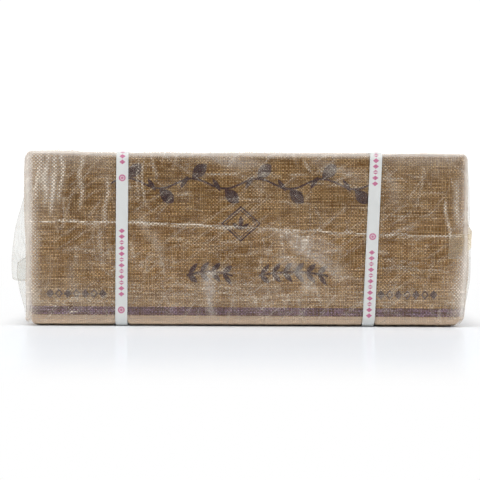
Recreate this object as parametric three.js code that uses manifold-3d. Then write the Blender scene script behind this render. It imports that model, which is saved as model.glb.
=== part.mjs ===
// A shut bale of pressed tea: ten paper tubes of tea cakes in a woven cloth cover, sealed in loose clear film and
// held by two plastic straps. Millimetres, +Z up, the long front face towards -Y, the origin in the middle of the
// face that the bale rests on.

import * as THREE from "three";
import { mergeVertices } from "three/addons/utils/BufferGeometryUtils.js";
import Module from "manifold-3d";

const wasm = await Module();
wasm.setup();

// ---------------------------------------------------------------- driving dimensions, in millimetres

const TUBE_PITCH = 87; // one tube of tea cakes across, with its paper
const TUBES_LONG = 5;
const TUBES_HIGH = 2;
const TUBE_LENGTH = 212; // five cakes end to end, along Y
const COVER_WALL = 1; // inner paper and cloth, on each side

const CLOTH_LENGTH = TUBES_LONG * TUBE_PITCH + 2 * COVER_WALL;
const CLOTH_DEPTH = TUBE_LENGTH + 4 * COVER_WALL;
const CLOTH_HEIGHT = TUBES_HIGH * TUBE_PITCH;

const FILM_GAP_LEFT = 5; // the film stands this far off the cloth at the left end
const FILM_GAP_RIGHT = 1;

// rounding of the pack's edges at its four corners as seen from the front
const ROUND_TOP_LEFT = 8;
const ROUND_TOP_RIGHT = 7;
const ROUND_BOTTOM_LEFT = 8;
const ROUND_BOTTOM_RIGHT = 12;

// soft swellings of the faces: a broad crown, and the tubes felt through the cover
const CROWN_FRONT = 1.2;
const CROWN_TOP = 2.2;
const CROWN_END = 1.0;
const TUBE_END_SWELL = 0.8;
const TUBE_SIDE_SWELL = 1.4;
const RIGHT_TUCK = 3.5; // the right end draws in by this much towards the table

// folded film at the ends
const FLAP_SUNK = 3; // how far a flap's inner skin lies under the end face
const FLAP_SEGMENTS = { across: 8, down: 9 };
const LOOSE_PUFF = 18; // the most that the hanging flap at the left stands off
const LOOSE_BACK = 0.5; // what is left of that towards the back
const LOOSE_EDGE_HEIGHT = 46; // its free edge over the table
const LOWER_PUFF = 12; // the flap under it
const FLAT_LIFT = 4.6; // the flaps at the right
const TAPE_HEIGHTS = [79, 101]; // the fold of tape over them
const TAPE_HALF = 32;
const TAPE_LIFT = 4.8;

// straps
const STRAP_WIDTH = 12;
const STRAP_THICKNESS = 0.9;
const STRAP_PROUD = 0.55; // how far a strap stands out of the pack it bites into
const STRAP_CLEARANCE = 0.3;
const STRAP_UNDERSIDE = 0.25; // height of the strap over the table, pressed into the pack's base
const STRAP_LEFT = { x: -126.9, lean: 0.004 };
const STRAP_RIGHT = { x: 123.6, lean: 0.041 };
const WELD = { low: 52, high: 118 }; // the doubled, welded stretch at the back, as heights

// grid
const CORNER_STEPS = 3;
const FLAT_STEPS = { x: 25, y: 8, z: 10 };

const WHITE_STRAP = 0xe4e7e4;
const CLOTH_BROWN = 0x8d7350;

// ---------------------------------------------------------------- derived places

const PACK = {
  x: [-CLOTH_LENGTH / 2 - FILM_GAP_LEFT, CLOTH_LENGTH / 2 + FILM_GAP_RIGHT],
  y: [-CLOTH_DEPTH / 2, CLOTH_DEPTH / 2],
  z: [0, CLOTH_HEIGHT],
};
const STATION_ROUND = (ROUND_TOP_LEFT + ROUND_TOP_RIGHT + ROUND_BOTTOM_LEFT + ROUND_BOTTOM_RIGHT) / 4;

const mix = (from, to, share) => from + (to - from) * share;
const share = (value, [low, high]) => (value - low) / (high - low);
const middle = ([low, high]) => (low + high) / 2;
const hump = (t) => 1 - t * t; // 1 in the middle, 0 at t = -1 and 1

/** 0 below low, 1 above high, with a smooth rise between them. */
function smooth(value, low, high) {
  return THREE.MathUtils.smoothstep(value, low, high);
}

// ---------------------------------------------------------------- the pack's surface

/** Grid lines along one side of the pack: close steps over each rounded edge, even ones between. */
function stations([low, high], flatSteps) {
  const edge = Array.from({ length: CORNER_STEPS + 1 }, (_, k) => (k / CORNER_STEPS) * (Math.PI / 4));
  const inset = edge.map((angle) => STATION_ROUND * Math.tan(angle));
  const first = inset.map((d) => low + STATION_ROUND - d).reverse();
  const last = inset.map((d) => high - STATION_ROUND + d);
  const step = (high - low - 2 * STATION_ROUND) / flatSteps;
  const flat = Array.from({ length: flatSteps - 1 }, (_, k) => low + STATION_ROUND + (k + 1) * step);
  return [...first, ...flat, ...last];
}

const LINES = {
  x: stations(PACK.x, FLAT_STEPS.x),
  y: stations(PACK.y, FLAT_STEPS.y),
  z: stations(PACK.z, FLAT_STEPS.z),
};

/** Radius of the pack's edges, blended between the four corners of its front. */
function edgeRound(x, z) {
  const along = share(x, PACK.x);
  const bottom = mix(ROUND_BOTTOM_LEFT, ROUND_BOTTOM_RIGHT, along);
  const top = mix(ROUND_TOP_LEFT, ROUND_TOP_RIGHT, along);
  return mix(bottom, top, share(z, PACK.z));
}

/** How far the front and back bulge at a place: a broad crown and the round ends of the tubes. */
function frontSwell(x, z) {
  const across = hump((2 * x) / CLOTH_LENGTH);
  const up = hump((2 * z) / CLOTH_HEIGHT - 1);
  const tubes = Math.cos((Math.PI * x) / TUBE_PITCH) ** 2 * Math.sin((Math.PI * z) / TUBE_PITCH) ** 2;
  return Math.max(0, across * up) * (CROWN_FRONT + 2 * TUBE_END_SWELL * tubes);
}

/** How far the top bulges: a broad crown and the tubes lying side by side under it. */
function topSwell(x, y) {
  const across = hump((2 * x) / CLOTH_LENGTH);
  const along = hump(((2 * y) / CLOTH_DEPTH) ** 2);
  const tubes = Math.cos((Math.PI * x) / TUBE_PITCH) ** 2;
  return Math.max(0, along) * (Math.max(0, across) * CROWN_TOP + smooth(across, 0, 0.2) * TUBE_SIDE_SWELL * tubes);
}

/** How far an end bulges: a broad crown and the two outermost tubes, one over the other. */
function endSwell(y, z) {
  const along = hump(((2 * y) / CLOTH_DEPTH) ** 2);
  const up = hump((2 * z) / CLOTH_HEIGHT - 1);
  return Math.max(0, along * up) * (CROWN_END + TUBE_SIDE_SWELL * Math.sin((Math.PI * z) / TUBE_PITCH) ** 2);
}

/**
 * The pack's surface: a point on a plain box goes to the same box with rounded edges, swollen faces and the
 * right end drawn in at the foot.
 */
function packPoint(x, y, z) {
  const round = edgeRound(x, z);
  const core = new THREE.Vector3(
    THREE.MathUtils.clamp(x, PACK.x[0] + round, PACK.x[1] - round),
    THREE.MathUtils.clamp(y, PACK.y[0] + round, PACK.y[1] - round),
    THREE.MathUtils.clamp(z, PACK.z[0] + round, PACK.z[1] - round),
  );
  const out = new THREE.Vector3(x, y, z).sub(core).normalize();
  const point = core.addScaledVector(out, round);
  point.y += out.y * frontSwell(x, z);
  point.z += Math.max(0, out.z) * topSwell(x, y);
  point.x += out.x * endSwell(y, z);
  point.x -= RIGHT_TUCK * smooth(x, PACK.x[1] - 40, PACK.x[1]) * (1 - smooth(z, 0, 95));
  return point;
}

// ---------------------------------------------------------------- mesh tools

/** Turns a closed mesh so that its faces point out, by the sign of its volume. */
function facedOutward(geometry) {
  const position = geometry.getAttribute("position");
  const index = geometry.getIndex();
  const [a, b, c] = [new THREE.Vector3(), new THREE.Vector3(), new THREE.Vector3()];
  let volume = 0;
  for (let i = 0; i < index.count; i += 3) {
    a.fromBufferAttribute(position, index.getX(i));
    b.fromBufferAttribute(position, index.getX(i + 1));
    c.fromBufferAttribute(position, index.getX(i + 2));
    volume += a.dot(b.cross(c));
  }
  if (volume < 0) {
    index.array.reverse();
  }
  return geometry;
}

/** A closed body made from a box of that many segments, each of its points (-1 to 1) sent through place. */
function mappedBox(segmentsX, segmentsY, segmentsZ, place) {
  const box = new THREE.BoxGeometry(2, 2, 2, segmentsX, segmentsY, segmentsZ);
  box.deleteAttribute("normal");
  box.deleteAttribute("uv");
  const geometry = mergeVertices(box, 1e-4);
  const position = geometry.getAttribute("position");
  for (let i = 0; i < position.count; i += 1) {
    position.setXYZ(i, ...place(position.getX(i), position.getY(i), position.getZ(i)).toArray());
  }
  return facedOutward(geometry);
}

/** A solid for joining and cutting, from a closed mesh whose shared points are merged. */
function solid(geometry) {
  const mesh = new wasm.Mesh({
    numProp: 3,
    vertProperties: new Float32Array(geometry.getAttribute("position").array),
    triVerts: new Uint32Array(geometry.getIndex().array),
  });
  return new wasm.Manifold(mesh);
}

/** A mesh geometry from a solid. */
function geometryOf(body) {
  const mesh = body.getMesh();
  const geometry = new THREE.BufferGeometry();
  geometry.setAttribute("position", new THREE.BufferAttribute(mesh.vertProperties, 3));
  geometry.setIndex(new THREE.BufferAttribute(mesh.triVerts, 1));
  return geometry;
}

// ---------------------------------------------------------------- the pack and its folded ends

/** The pack without its flaps. */
function packBody() {
  const line = (stops, t) => stops[Math.round(((t + 1) / 2) * (stops.length - 1))];
  return mappedBox(LINES.x.length - 1, LINES.y.length - 1, LINES.z.length - 1, (a, b, c) =>
    packPoint(line(LINES.x, a), line(LINES.y, b), line(LINES.z, c)),
  );
}

/**
 * A flap of film folded onto an end: it narrows from its root at the edge of the end to its free edge, and its
 * outer skin stands off the end by lift(s, t), with s running from root to free edge and t across from -1 to 1.
 */
function endFlap({ end, root, tip, rootHalf, tipHalf, middleY = 0, lift }) {
  const faceX = end < 0 ? PACK.x[0] : PACK.x[1];
  const place = (a, b, c) => {
    const s = (c + 1) / 2;
    const y = middleY + b * mix(rootHalf, tipHalf, s);
    const z = mix(root, tip, s);
    const off = a < 0 ? -FLAP_SUNK : lift(s, b);
    const face = packPoint(faceX, y, z).x;
    return new THREE.Vector3(face + Math.sign(end) * off, y, z);
  };
  return mappedBox(1, FLAP_SEGMENTS.across, FLAP_SEGMENTS.down, place);
}

/** The left end: the lower flap is folded up, and the upper one hangs down over it, puffed out and loose. */
function leftFlaps() {
  const slack = (t) => mix(1, LOOSE_BACK, smooth(t, -0.8, 1)); // loosest near the front
  const upper = endFlap({
    end: -1,
    root: 140,
    tip: LOOSE_EDGE_HEIGHT,
    rootHalf: 98,
    tipHalf: 84,
    lift: (s, t) => LOOSE_PUFF * Math.sin(0.56 * Math.PI * s) ** 1.25 * slack(t),
  });
  const lower = endFlap({
    end: -1,
    root: 7,
    tip: LOOSE_EDGE_HEIGHT + 16,
    rootHalf: 99,
    tipHalf: 70,
    lift: (s, t) => LOWER_PUFF * Math.min(1, 1.3 * s) * slack(t),
  });
  return [upper, lower];
}

/** The right end: both flaps lie nearly flat, and a fold of tape holds their edges near the front. */
function rightFlaps() {
  const flat = (t) => 1 - 0.4 * smooth(t, 0, 1);
  const upper = endFlap({
    end: 1,
    root: 166,
    tip: TAPE_HEIGHTS[1],
    rootHalf: 98,
    tipHalf: 76,
    lift: (s, t) => FLAT_LIFT * Math.sin((Math.PI / 2) * s) * flat(t),
  });
  const lower = endFlap({
    end: 1,
    root: 10,
    tip: TAPE_HEIGHTS[0] + 4,
    rootHalf: 98,
    tipHalf: 66,
    lift: (s, t) => 0.85 * FLAT_LIFT * Math.min(1, 2 * s) * flat(t),
  });
  const tape = endFlap({
    end: 1,
    root: TAPE_HEIGHTS[1],
    tip: TAPE_HEIGHTS[0],
    rootHalf: TAPE_HALF,
    tipHalf: TAPE_HALF - 2,
    middleY: PACK.y[0] + 5 + TAPE_HALF,
    lift: (s, t) => TAPE_LIFT + 0.8 * Math.sin(Math.PI * s) * hump(t),
  });
  return [upper, lower, tape];
}

// ---------------------------------------------------------------- straps

/** Places round the pack in one direction: up the front, back over the top, down the back, forward underneath. */
function girth() {
  const [yLow, yHigh] = PACK.y;
  const [zLow, zHigh] = PACK.z;
  const front = LINES.z.slice(0, -1).map((z) => [yLow, z]);
  const top = LINES.y.slice(0, -1).map((y) => [y, zHigh]);
  const back = LINES.z.slice(1).reverse().map((z) => [yHigh, z]);
  const under = LINES.y.slice(1).reverse().map((y) => [y, zLow]);
  return [...front, ...top, ...back, ...under];
}

/** The line that a strap follows round the pack, with the direction that points away from the pack. */
function strapLine({ x, lean }) {
  const points = girth().map(([y, z]) => packPoint(x + lean * (z - middle(PACK.z)), y, z));
  return points.map((point, k) => {
    const before = points.at(k - 1);
    const after = points[(k + 1) % points.length];
    const out = new THREE.Vector3(0, before.z - after.z, after.y - before.y).normalize();
    return { point, out };
  });
}

/**
 * A closed flat band round the pack: a rectangle of that half width carried along the strap's line, from inner(place)
 * to outer(place) measured outward from the pack's surface.
 */
function band(strap, halfWidth, inner, outer) {
  const line = strapLine(strap);
  const corners = line.flatMap((place) => {
    const low = place.point.clone().addScaledVector(place.out, inner(place));
    const high = place.point.clone().addScaledVector(place.out, outer(place));
    return [
      [low.x - halfWidth, low.y, low.z],
      [high.x - halfWidth, high.y, high.z],
      [high.x + halfWidth, high.y, high.z],
      [low.x + halfWidth, low.y, low.z],
    ];
  });
  const faces = line.flatMap((_, k) => {
    const here = 4 * k;
    const next = 4 * ((k + 1) % line.length);
    return [0, 1, 2, 3].flatMap((j) => {
      const after = (j + 1) % 4;
      return [here + j, here + after, next + after, here + j, next + after, next + j];
    });
  });
  const geometry = new THREE.BufferGeometry();
  geometry.setAttribute("position", new THREE.Float32BufferAttribute(corners.flat(), 3));
  geometry.setIndex(new THREE.Uint32BufferAttribute(faces, 1));
  return facedOutward(geometry);
}

/** How far a strap's outer face stands from the pack: proud on every side but the base, where it is pressed in. */
function strapHeight({ out }) {
  return mix(STRAP_PROUD, -STRAP_UNDERSIDE, smooth(-out.z, 0, 1));
}

/** 1 where the strap's two ends lie over each other and are welded, at the back. */
function welded({ point, out }) {
  return out.y > 0.5 && point.z > WELD.low && point.z < WELD.high ? 1 : 0;
}

/** The strap itself. */
function strapBand(strap) {
  return band(
    strap,
    STRAP_WIDTH / 2,
    (place) => strapHeight(place) - STRAP_THICKNESS,
    (place) => strapHeight(place) + welded(place) * STRAP_THICKNESS,
  );
}

/** The groove that a strap presses into the pack, open to the outside. */
function strapGroove(strap) {
  return band(
    strap,
    STRAP_WIDTH / 2 + STRAP_CLEARANCE,
    (place) => strapHeight(place) - STRAP_THICKNESS - STRAP_CLEARANCE,
    () => 3 * STRAP_THICKNESS,
  );
}

// ---------------------------------------------------------------- materials and the finished group

function filmOverCloth() {
  return new THREE.MeshStandardMaterial({ color: CLOTH_BROWN, roughness: 0.35, metalness: 0 });
}

function whitePlastic() {
  return new THREE.MeshStandardMaterial({ color: WHITE_STRAP, roughness: 0.45, metalness: 0 });
}

function piece(name, geometry, material) {
  const mesh = new THREE.Mesh(geometry, material);
  mesh.name = name;
  return mesh;
}

/** The film-sealed pack in one solid: body and flaps joined, strap grooves cut. */
function wrappedBale() {
  const flaps = [...leftFlaps(), ...rightFlaps()].map(solid);
  const joined = flaps.reduce((body, flap) => body.add(flap), solid(packBody()));
  const grooves = [STRAP_LEFT, STRAP_RIGHT].map((strap) => solid(strapGroove(strap)));
  return geometryOf(grooves.reduce((body, groove) => body.subtract(groove), joined));
}

const bale = new THREE.Group();
bale.add(piece("wrapped_bale", wrappedBale(), filmOverCloth()));
bale.add(piece("strap_left", strapBand(STRAP_LEFT), whitePlastic()));
bale.add(piece("strap_right", strapBand(STRAP_RIGHT), whitePlastic()));

export default bale;
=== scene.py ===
"""Looks of a strapped bale of pressed tea: a printed woven cover, clear crinkled film round it, and two plastic straps.

Lengths are metres, +Z is up, the printed front faces -Y and the origin is in the middle of the underside. The pack's
shape comes from one form, a brick with rounded edges and softly swollen faces. Cloth, film and straps all lie on it.
"""

import logging
import math
from dataclasses import dataclass, field
from enum import Enum
from typing import Callable, Sequence, Union

import bpy
import numpy as np
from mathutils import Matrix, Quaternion, Vector


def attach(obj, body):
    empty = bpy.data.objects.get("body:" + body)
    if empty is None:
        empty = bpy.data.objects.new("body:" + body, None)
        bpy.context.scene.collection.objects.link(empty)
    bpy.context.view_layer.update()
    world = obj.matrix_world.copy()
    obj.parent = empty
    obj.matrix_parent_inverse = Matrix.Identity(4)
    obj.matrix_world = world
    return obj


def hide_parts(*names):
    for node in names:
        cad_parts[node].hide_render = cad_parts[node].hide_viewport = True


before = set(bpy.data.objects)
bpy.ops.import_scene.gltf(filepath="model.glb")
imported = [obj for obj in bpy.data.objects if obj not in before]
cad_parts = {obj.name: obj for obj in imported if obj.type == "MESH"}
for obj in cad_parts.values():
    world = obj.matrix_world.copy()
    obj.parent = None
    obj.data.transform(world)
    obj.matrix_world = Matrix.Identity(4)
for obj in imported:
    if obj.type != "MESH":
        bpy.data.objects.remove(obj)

LOG = logging.getLogger("tea_bale")
MM = 0.001
BODY = "root"

Array = np.ndarray
Colour = tuple[float, float, float]

# ------------------------------------------------------------------------------------------------ driving sizes

TUBE_PITCH = 87 * MM
TUBES_LONG = 5
TUBES_HIGH = 2
CLOTH_LENGTH = TUBES_LONG * TUBE_PITCH + 2 * MM
CLOTH_DEPTH = 216 * MM
CLOTH_HEIGHT = TUBES_HIGH * TUBE_PITCH
FILM_GAP_LEFT = 5 * MM
FILM_GAP_RIGHT = 1 * MM


# ------------------------------------------------------------------------------------------------ numbers on arrays


def smooth(value: Array, low: float, high: float) -> Array:
    """Rises from 0 at low to 1 at high as 3t^2 - 2t^3.

    Args:
        value: Numbers to map.
        low: Where the rise starts.
        high: Where it ends.

    Returns:
        An array of the same shape, from 0 to 1.
    """
    t = np.clip((value - low) / (high - low), 0.0, 1.0)
    return t * t * (3.0 - 2.0 * t)


def hump(t: Array) -> Array:
    """1 - t^2, held at 0 outside -1 to 1."""
    return np.clip(1.0 - t * t, 0.0, 1.0)


def unit(vectors: Array) -> Array:
    """Each row divided by its length."""
    return vectors / np.maximum(np.linalg.norm(vectors, axis=-1, keepdims=True), 1e-12)


@dataclass(frozen=True)
class Ripples:
    """Soft random unevenness: a sum of plane waves of about one length, in random directions and phases."""

    wavelength: float
    height: float
    seed: int
    waves: int = 14

    def at(self, points: Array) -> Array:
        """Height at each point: the mean of sin(k.p + phase) over the waves, times height times the root of their count.

        Args:
            points: Rows of two or three coordinates.

        Returns:
            One height a row.
        """
        rng = np.random.default_rng(self.seed)
        directions = unit(rng.normal(size=(self.waves, points.shape[-1])))
        lengths = self.wavelength * rng.uniform(0.7, 1.4, size=self.waves)
        phases = rng.uniform(0.0, 2.0 * math.pi, size=self.waves)
        turns = points @ (directions / lengths[:, None]).T * 2.0 * math.pi + phases
        return self.height * np.sin(turns).sum(axis=-1) / math.sqrt(self.waves)


@dataclass(frozen=True)
class Facets:
    """Crumpled sheet: a sum of zigzag waves in random directions, so that flat facets meet in straight folds."""

    wavelength: float
    height: float
    seed: int
    waves: int = 6

    def waves_at(self, points: Array) -> tuple[Array, Array]:
        """How many waves along each point lies, for every wave, and the wavelengths."""
        rng = np.random.default_rng(self.seed)
        directions = unit(rng.normal(size=(self.waves, points.shape[-1])))
        lengths = self.wavelength * rng.uniform(0.5, 1.6, size=self.waves)
        return points @ (directions / lengths[:, None]).T + rng.uniform(0.0, 1.0, size=self.waves), lengths

    def at(self, points: Array) -> Array:
        """Height at each point: the mean of 1 - 4 |frac(k.p + phase) - 1/2| over the waves, times height.

        Args:
            points: Rows of two or three coordinates.

        Returns:
            One height a row, from -height to height.
        """
        turns, lengths = self.waves_at(points)
        zigzag = 1.0 - 4.0 * np.abs(turns - np.floor(turns) - 0.5)
        return self.height * (zigzag * np.sqrt(lengths / self.wavelength)).mean(axis=-1)

    def folds(self, points: Array, width: float) -> Array:
        """Closeness to the nearest fold: exp(-(d / width)^2), where d is the distance to it, broken by slow waves.

        Args:
            points: Rows of two or three coordinates.
            width: The fold's half width.

        Returns:
            One number a row, from 0 to 1.
        """
        turns, lengths = self.waves_at(points)
        away = np.abs(2.0 * turns - np.round(2.0 * turns)) / 2.0 * lengths
        shown = [
            smooth(Ripples(1.6 * self.wavelength, 1.0, self.seed + 100 + k).at(points), 0.1, 0.9)
            for k in range(self.waves)
        ]
        return (np.exp(-((away / width) ** 2)) * np.stack(shown, axis=-1)).max(axis=-1)


# ------------------------------------------------------------------------------------------------ the pack's form


class Side(Enum):
    """The six sides of the pack: (fixed axis, which end of it, first axis, second axis), first x second pointing out."""

    FRONT = (1, 0, 0, 2)
    BACK = (1, -1, 2, 0)
    RIGHT = (0, -1, 1, 2)
    LEFT = (0, 0, 2, 1)
    TOP = (2, -1, 0, 1)
    BASE = (2, 0, 1, 0)


@dataclass(frozen=True)
class PackForm:
    """A brick with rounded edges, swollen by the tubes of tea inside it."""

    low: tuple[float, float, float]
    high: tuple[float, float, float]
    round_top_left: float = 8 * MM
    round_top_right: float = 7 * MM
    round_bottom_left: float = 8 * MM
    round_bottom_right: float = 12 * MM
    crown_front: float = 1.2 * MM
    crown_top: float = 2.2 * MM
    crown_end: float = 1.0 * MM
    tube_end_swell: float = 0.8 * MM
    tube_side_swell: float = 1.4 * MM
    right_tuck: float = 3.5 * MM
    tuck_reach: float = 40 * MM
    tuck_height: float = 95 * MM

    def edge_round(self, places: Array) -> Array:
        """Edge radius at each place, blended in a straight line between the four corners of the front."""
        along = (places[:, 0] - self.low[0]) / (self.high[0] - self.low[0])
        up = (places[:, 2] - self.low[2]) / (self.high[2] - self.low[2])
        bottom = self.round_bottom_left + (self.round_bottom_right - self.round_bottom_left) * along
        top = self.round_top_left + (self.round_top_right - self.round_top_left) * along
        return bottom + (top - bottom) * up

    def swell(self, places: Array) -> tuple[Array, Array, Array]:
        """How far the ends, the front and the top bulge at each place.

        Each is a broad crown, 1 - t^2 both ways, with a rise over every tube: cos^2 across the pitch.

        Args:
            places: Points on the plain box.

        Returns:
            The bulge along X, Y and Z.
        """
        x, y, z = places.T
        across = hump(2.0 * x / CLOTH_LENGTH)
        along = hump((2.0 * y / CLOTH_DEPTH) ** 2)
        up = hump(2.0 * z / CLOTH_HEIGHT - 1.0)
        tube_x = np.cos(math.pi * x / TUBE_PITCH) ** 2
        tube_z = np.sin(math.pi * z / TUBE_PITCH) ** 2
        end = along * up * (self.crown_end + self.tube_side_swell * tube_z)
        front = across * up * (self.crown_front + 2.0 * self.tube_end_swell * tube_x * tube_z)
        top = along * (across * self.crown_top + smooth(across, 0.0, 0.2) * self.tube_side_swell * tube_x)
        return end, front, top

    def place(self, places: Array) -> tuple[Array, Array]:
        """Sends points of the plain box to the form.

        A point goes to the nearest point of the box shrunk by its edge radius, then out by that radius, and out again
        by the swelling of the side that it is on.

        Args:
            places: Points on the plain box, one a row.

        Returns:
            The points on the form, and the outward direction at each.
        """
        radius = self.edge_round(places)[:, None]
        core = np.clip(places, np.array(self.low) + radius, np.array(self.high) - radius)
        out = unit(places - core)
        end, front, top = self.swell(places)
        points = core + out * radius
        points[:, 0] += out[:, 0] * end
        points[:, 1] += out[:, 1] * front
        points[:, 2] += np.maximum(out[:, 2], 0.0) * top
        tuck = smooth(places[:, 0], self.high[0] - self.tuck_reach, self.high[0])
        points[:, 0] -= self.right_tuck * tuck * (1.0 - smooth(places[:, 2], 0.0, self.tuck_height))
        return points, out


CLOTH_FORM = PackForm(
    low=(-CLOTH_LENGTH / 2, -CLOTH_DEPTH / 2 + 0.6 * MM, 0.7 * MM),
    high=(CLOTH_LENGTH / 2, CLOTH_DEPTH / 2 - 0.6 * MM, CLOTH_HEIGHT - 0.6 * MM),
    round_top_left=7 * MM,
    round_top_right=6 * MM,
    round_bottom_left=7 * MM,
    round_bottom_right=11 * MM,
)
FILM_FORM = PackForm(
    low=(-CLOTH_LENGTH / 2 - FILM_GAP_LEFT, -CLOTH_DEPTH / 2, 0.0),
    high=(CLOTH_LENGTH / 2 + FILM_GAP_RIGHT, CLOTH_DEPTH / 2, CLOTH_HEIGHT),
)


# ------------------------------------------------------------------------------------------------ meshes from arrays


def make_piece(name: str, points: Array, quads: Array, uv: Union[Array, None] = None) -> bpy.types.Object:
    """Makes a smooth-shaded mesh object from arrays.

    Args:
        name: The piece's name.
        points: Vertex places, one a row.
        quads: Four vertex numbers a face, anticlockwise as seen from outside.
        uv: One (u, v) pair for each face corner, or None.

    Returns:
        The new object, in the scene, at the origin.
    """
    mesh = bpy.data.meshes.new(name)
    mesh.from_pydata(points.tolist(), [], quads.tolist(), shade_flat=False)
    if uv is not None:
        layer = mesh.uv_layers.new(name="cut")
        layer.data.foreach_set("uv", uv.astype(np.float32).ravel())
    mesh.validate()
    piece = bpy.data.objects.new(name, mesh)
    bpy.context.scene.collection.objects.link(piece)
    return piece


def add_value(piece: bpy.types.Object, name: str, values: Array) -> None:
    """Stores one number a vertex, which a material reads by name."""
    attribute = piece.data.attributes.new(name, "FLOAT", "POINT")
    attribute.data.foreach_set("value", values.astype(np.float32))


def finish_piece(piece: bpy.types.Object, material: bpy.types.Material, slot: str, *nodes: str) -> None:
    """Dresses a piece, lets it ride on the body and hides the frame parts that it stands for."""
    piece.data.materials.append(material)
    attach(piece, BODY)
    if nodes:
        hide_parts(*nodes)
    LOG.info("%s: %d points, %d faces", piece.name, len(piece.data.vertices), len(piece.data.polygons))


def stations(low: float, high: float, radius: float, corner_steps: int, step: float) -> Array:
    """Grid lines across one side: equal angles over each rounded edge, equal steps between.

    Over an edge the line at angle a from the flat lies radius * tan(a) into it, up to 45 degrees.

    Args:
        low: The side's start.
        high: Its end.
        radius: The edge radius.
        corner_steps: Steps over each half edge.
        step: About how far apart the lines between are.

    Returns:
        The lines in rising order.
    """
    inset = radius * np.tan(np.linspace(0.0, math.pi / 4.0, corner_steps + 1))
    count = max(2, round((high - low - 2.0 * radius) / step))
    flat = np.linspace(low + radius, high - radius, count + 1)
    return np.concatenate([(low + radius - inset)[::-1], flat[1:-1], high - radius + inset])


class BoxGrid:
    """The skin of a box as one closed grid of quads."""

    def __init__(self, lines: Sequence[Array]) -> None:
        """Numbers the lattice points that lie on the skin.

        Args:
            lines: Rising grid lines along X, Y and Z.
        """
        shape = tuple(len(line) for line in lines)
        counts = np.indices(shape)
        skin = np.zeros(shape, dtype=bool)
        for count, size in zip(counts, shape):
            skin |= (count == 0) | (count == size - 1)
        self.lines = lines
        self.number = np.full(shape, -1)
        self.number[skin] = np.arange(int(skin.sum()))
        self.places = np.stack(np.meshgrid(*lines, indexing="ij"), axis=-1)[skin]

    def side(self, side: Side) -> Array:
        """The quads of one side, four vertex numbers a row, facing out."""
        fixed, end, first, second = side.value
        face = np.take(self.number, end, axis=fixed)
        if first > second:
            face = face.T
        corners = (face[:-1, :-1], face[1:, :-1], face[1:, 1:], face[:-1, 1:])
        return np.stack(corners, axis=-1).reshape(-1, 4)


def unrolled(side: Side, places: Array) -> Array:
    """Flat cloth coordinates of places on one side of the box, so that a weave runs on over the long edges.

    The sleeve round the girth keeps u = x, and v is the way up the front, back over the top and down again. The ends
    carry on from the front's short edges.

    Args:
        side: The side that the places are on.
        places: Points on the plain box.

    Returns:
        (u, v) rows in metres.
    """
    x, y, z = places.T
    back = y + CLOTH_DEPTH / 2.0
    flat = {
        Side.FRONT: (x, z),
        Side.TOP: (x, CLOTH_HEIGHT + back),
        Side.BACK: (x, 2.0 * CLOTH_HEIGHT + CLOTH_DEPTH - z),
        Side.BASE: (x, -back),
        Side.RIGHT: (CLOTH_LENGTH / 2.0 + back, z),
        Side.LEFT: (-CLOTH_LENGTH / 2.0 - back, z),
    }
    return np.stack(flat[side], axis=-1)


def wrap_mesh(name: str, form: PackForm, relief: Callable[[Array, Array], Array], grid: BoxGrid) -> bpy.types.Object:
    """A closed mesh that follows a form all round.

    Args:
        name: The piece's name.
        form: The form to follow.
        relief: Gives the height over the form for places on the box and the outward directions there.
        grid: The grid on the form's plain box.

    Returns:
        The new object, with its flat coordinates in the UV map.
    """
    base, out = form.place(grid.places)
    points = base + out * relief(grid.places, out)[:, None]
    faces = {side: grid.side(side) for side in Side}
    quads = np.concatenate(list(faces.values()))
    uv = np.concatenate([unrolled(side, grid.places[face.ravel()]) for side, face in faces.items()])
    return make_piece(name, points, quads, uv)


def shell(name: str, outer: Array, inner: Array) -> bpy.types.Object:
    """A closed thin body between two grids of points with the same rims.

    Args:
        name: The piece's name.
        outer: Points of the outer skin, rows by columns by 3, with rows x columns pointing out.
        inner: Points of the inner skin, likewise.

    Returns:
        The new object, with (row, column) distances along the outer skin in its UV map.
    """
    rows, columns = outer.shape[:2]
    number = np.arange(rows * columns).reshape(rows, columns)
    under = number + rows * columns

    def quads_of(a: Array, b: Array, c: Array, d: Array) -> Array:
        return np.stack([a, b, c, d], axis=-1).reshape(-1, 4)

    top = quads_of(number[:-1, :-1], number[1:, :-1], number[1:, 1:], number[:-1, 1:])
    bottom = quads_of(under[:-1, :-1], under[:-1, 1:], under[1:, 1:], under[1:, :-1])
    rims = [
        quads_of(number[:-1, 0], under[:-1, 0], under[1:, 0], number[1:, 0]),
        quads_of(number[1:, -1], under[1:, -1], under[:-1, -1], number[:-1, -1]),
        quads_of(number[0, 1:], under[0, 1:], under[0, :-1], number[0, :-1]),
        quads_of(number[-1, :-1], under[-1, :-1], under[-1, 1:], number[-1, 1:]),
    ]
    quads = np.concatenate([top, bottom, *rims])
    steps_down = np.linalg.norm(np.diff(outer, axis=0), axis=-1).mean(axis=1)
    steps_across = np.linalg.norm(np.diff(outer, axis=1), axis=-1).mean(axis=0)
    down = np.concatenate([[0.0], np.cumsum(steps_down)])
    across = np.concatenate([[0.0], np.cumsum(steps_across)])
    flat = np.stack(np.meshgrid(down, across, indexing="ij"), axis=-1).reshape(-1, 2)
    points = np.concatenate([outer.reshape(-1, 3), inner.reshape(-1, 3)])
    return make_piece(name, points, quads, np.tile(flat, (2, 1))[quads.ravel()])


# ------------------------------------------------------------------------------------------------ shader language

Input = Union["Value", bpy.types.NodeSocket, float, tuple]


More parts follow.
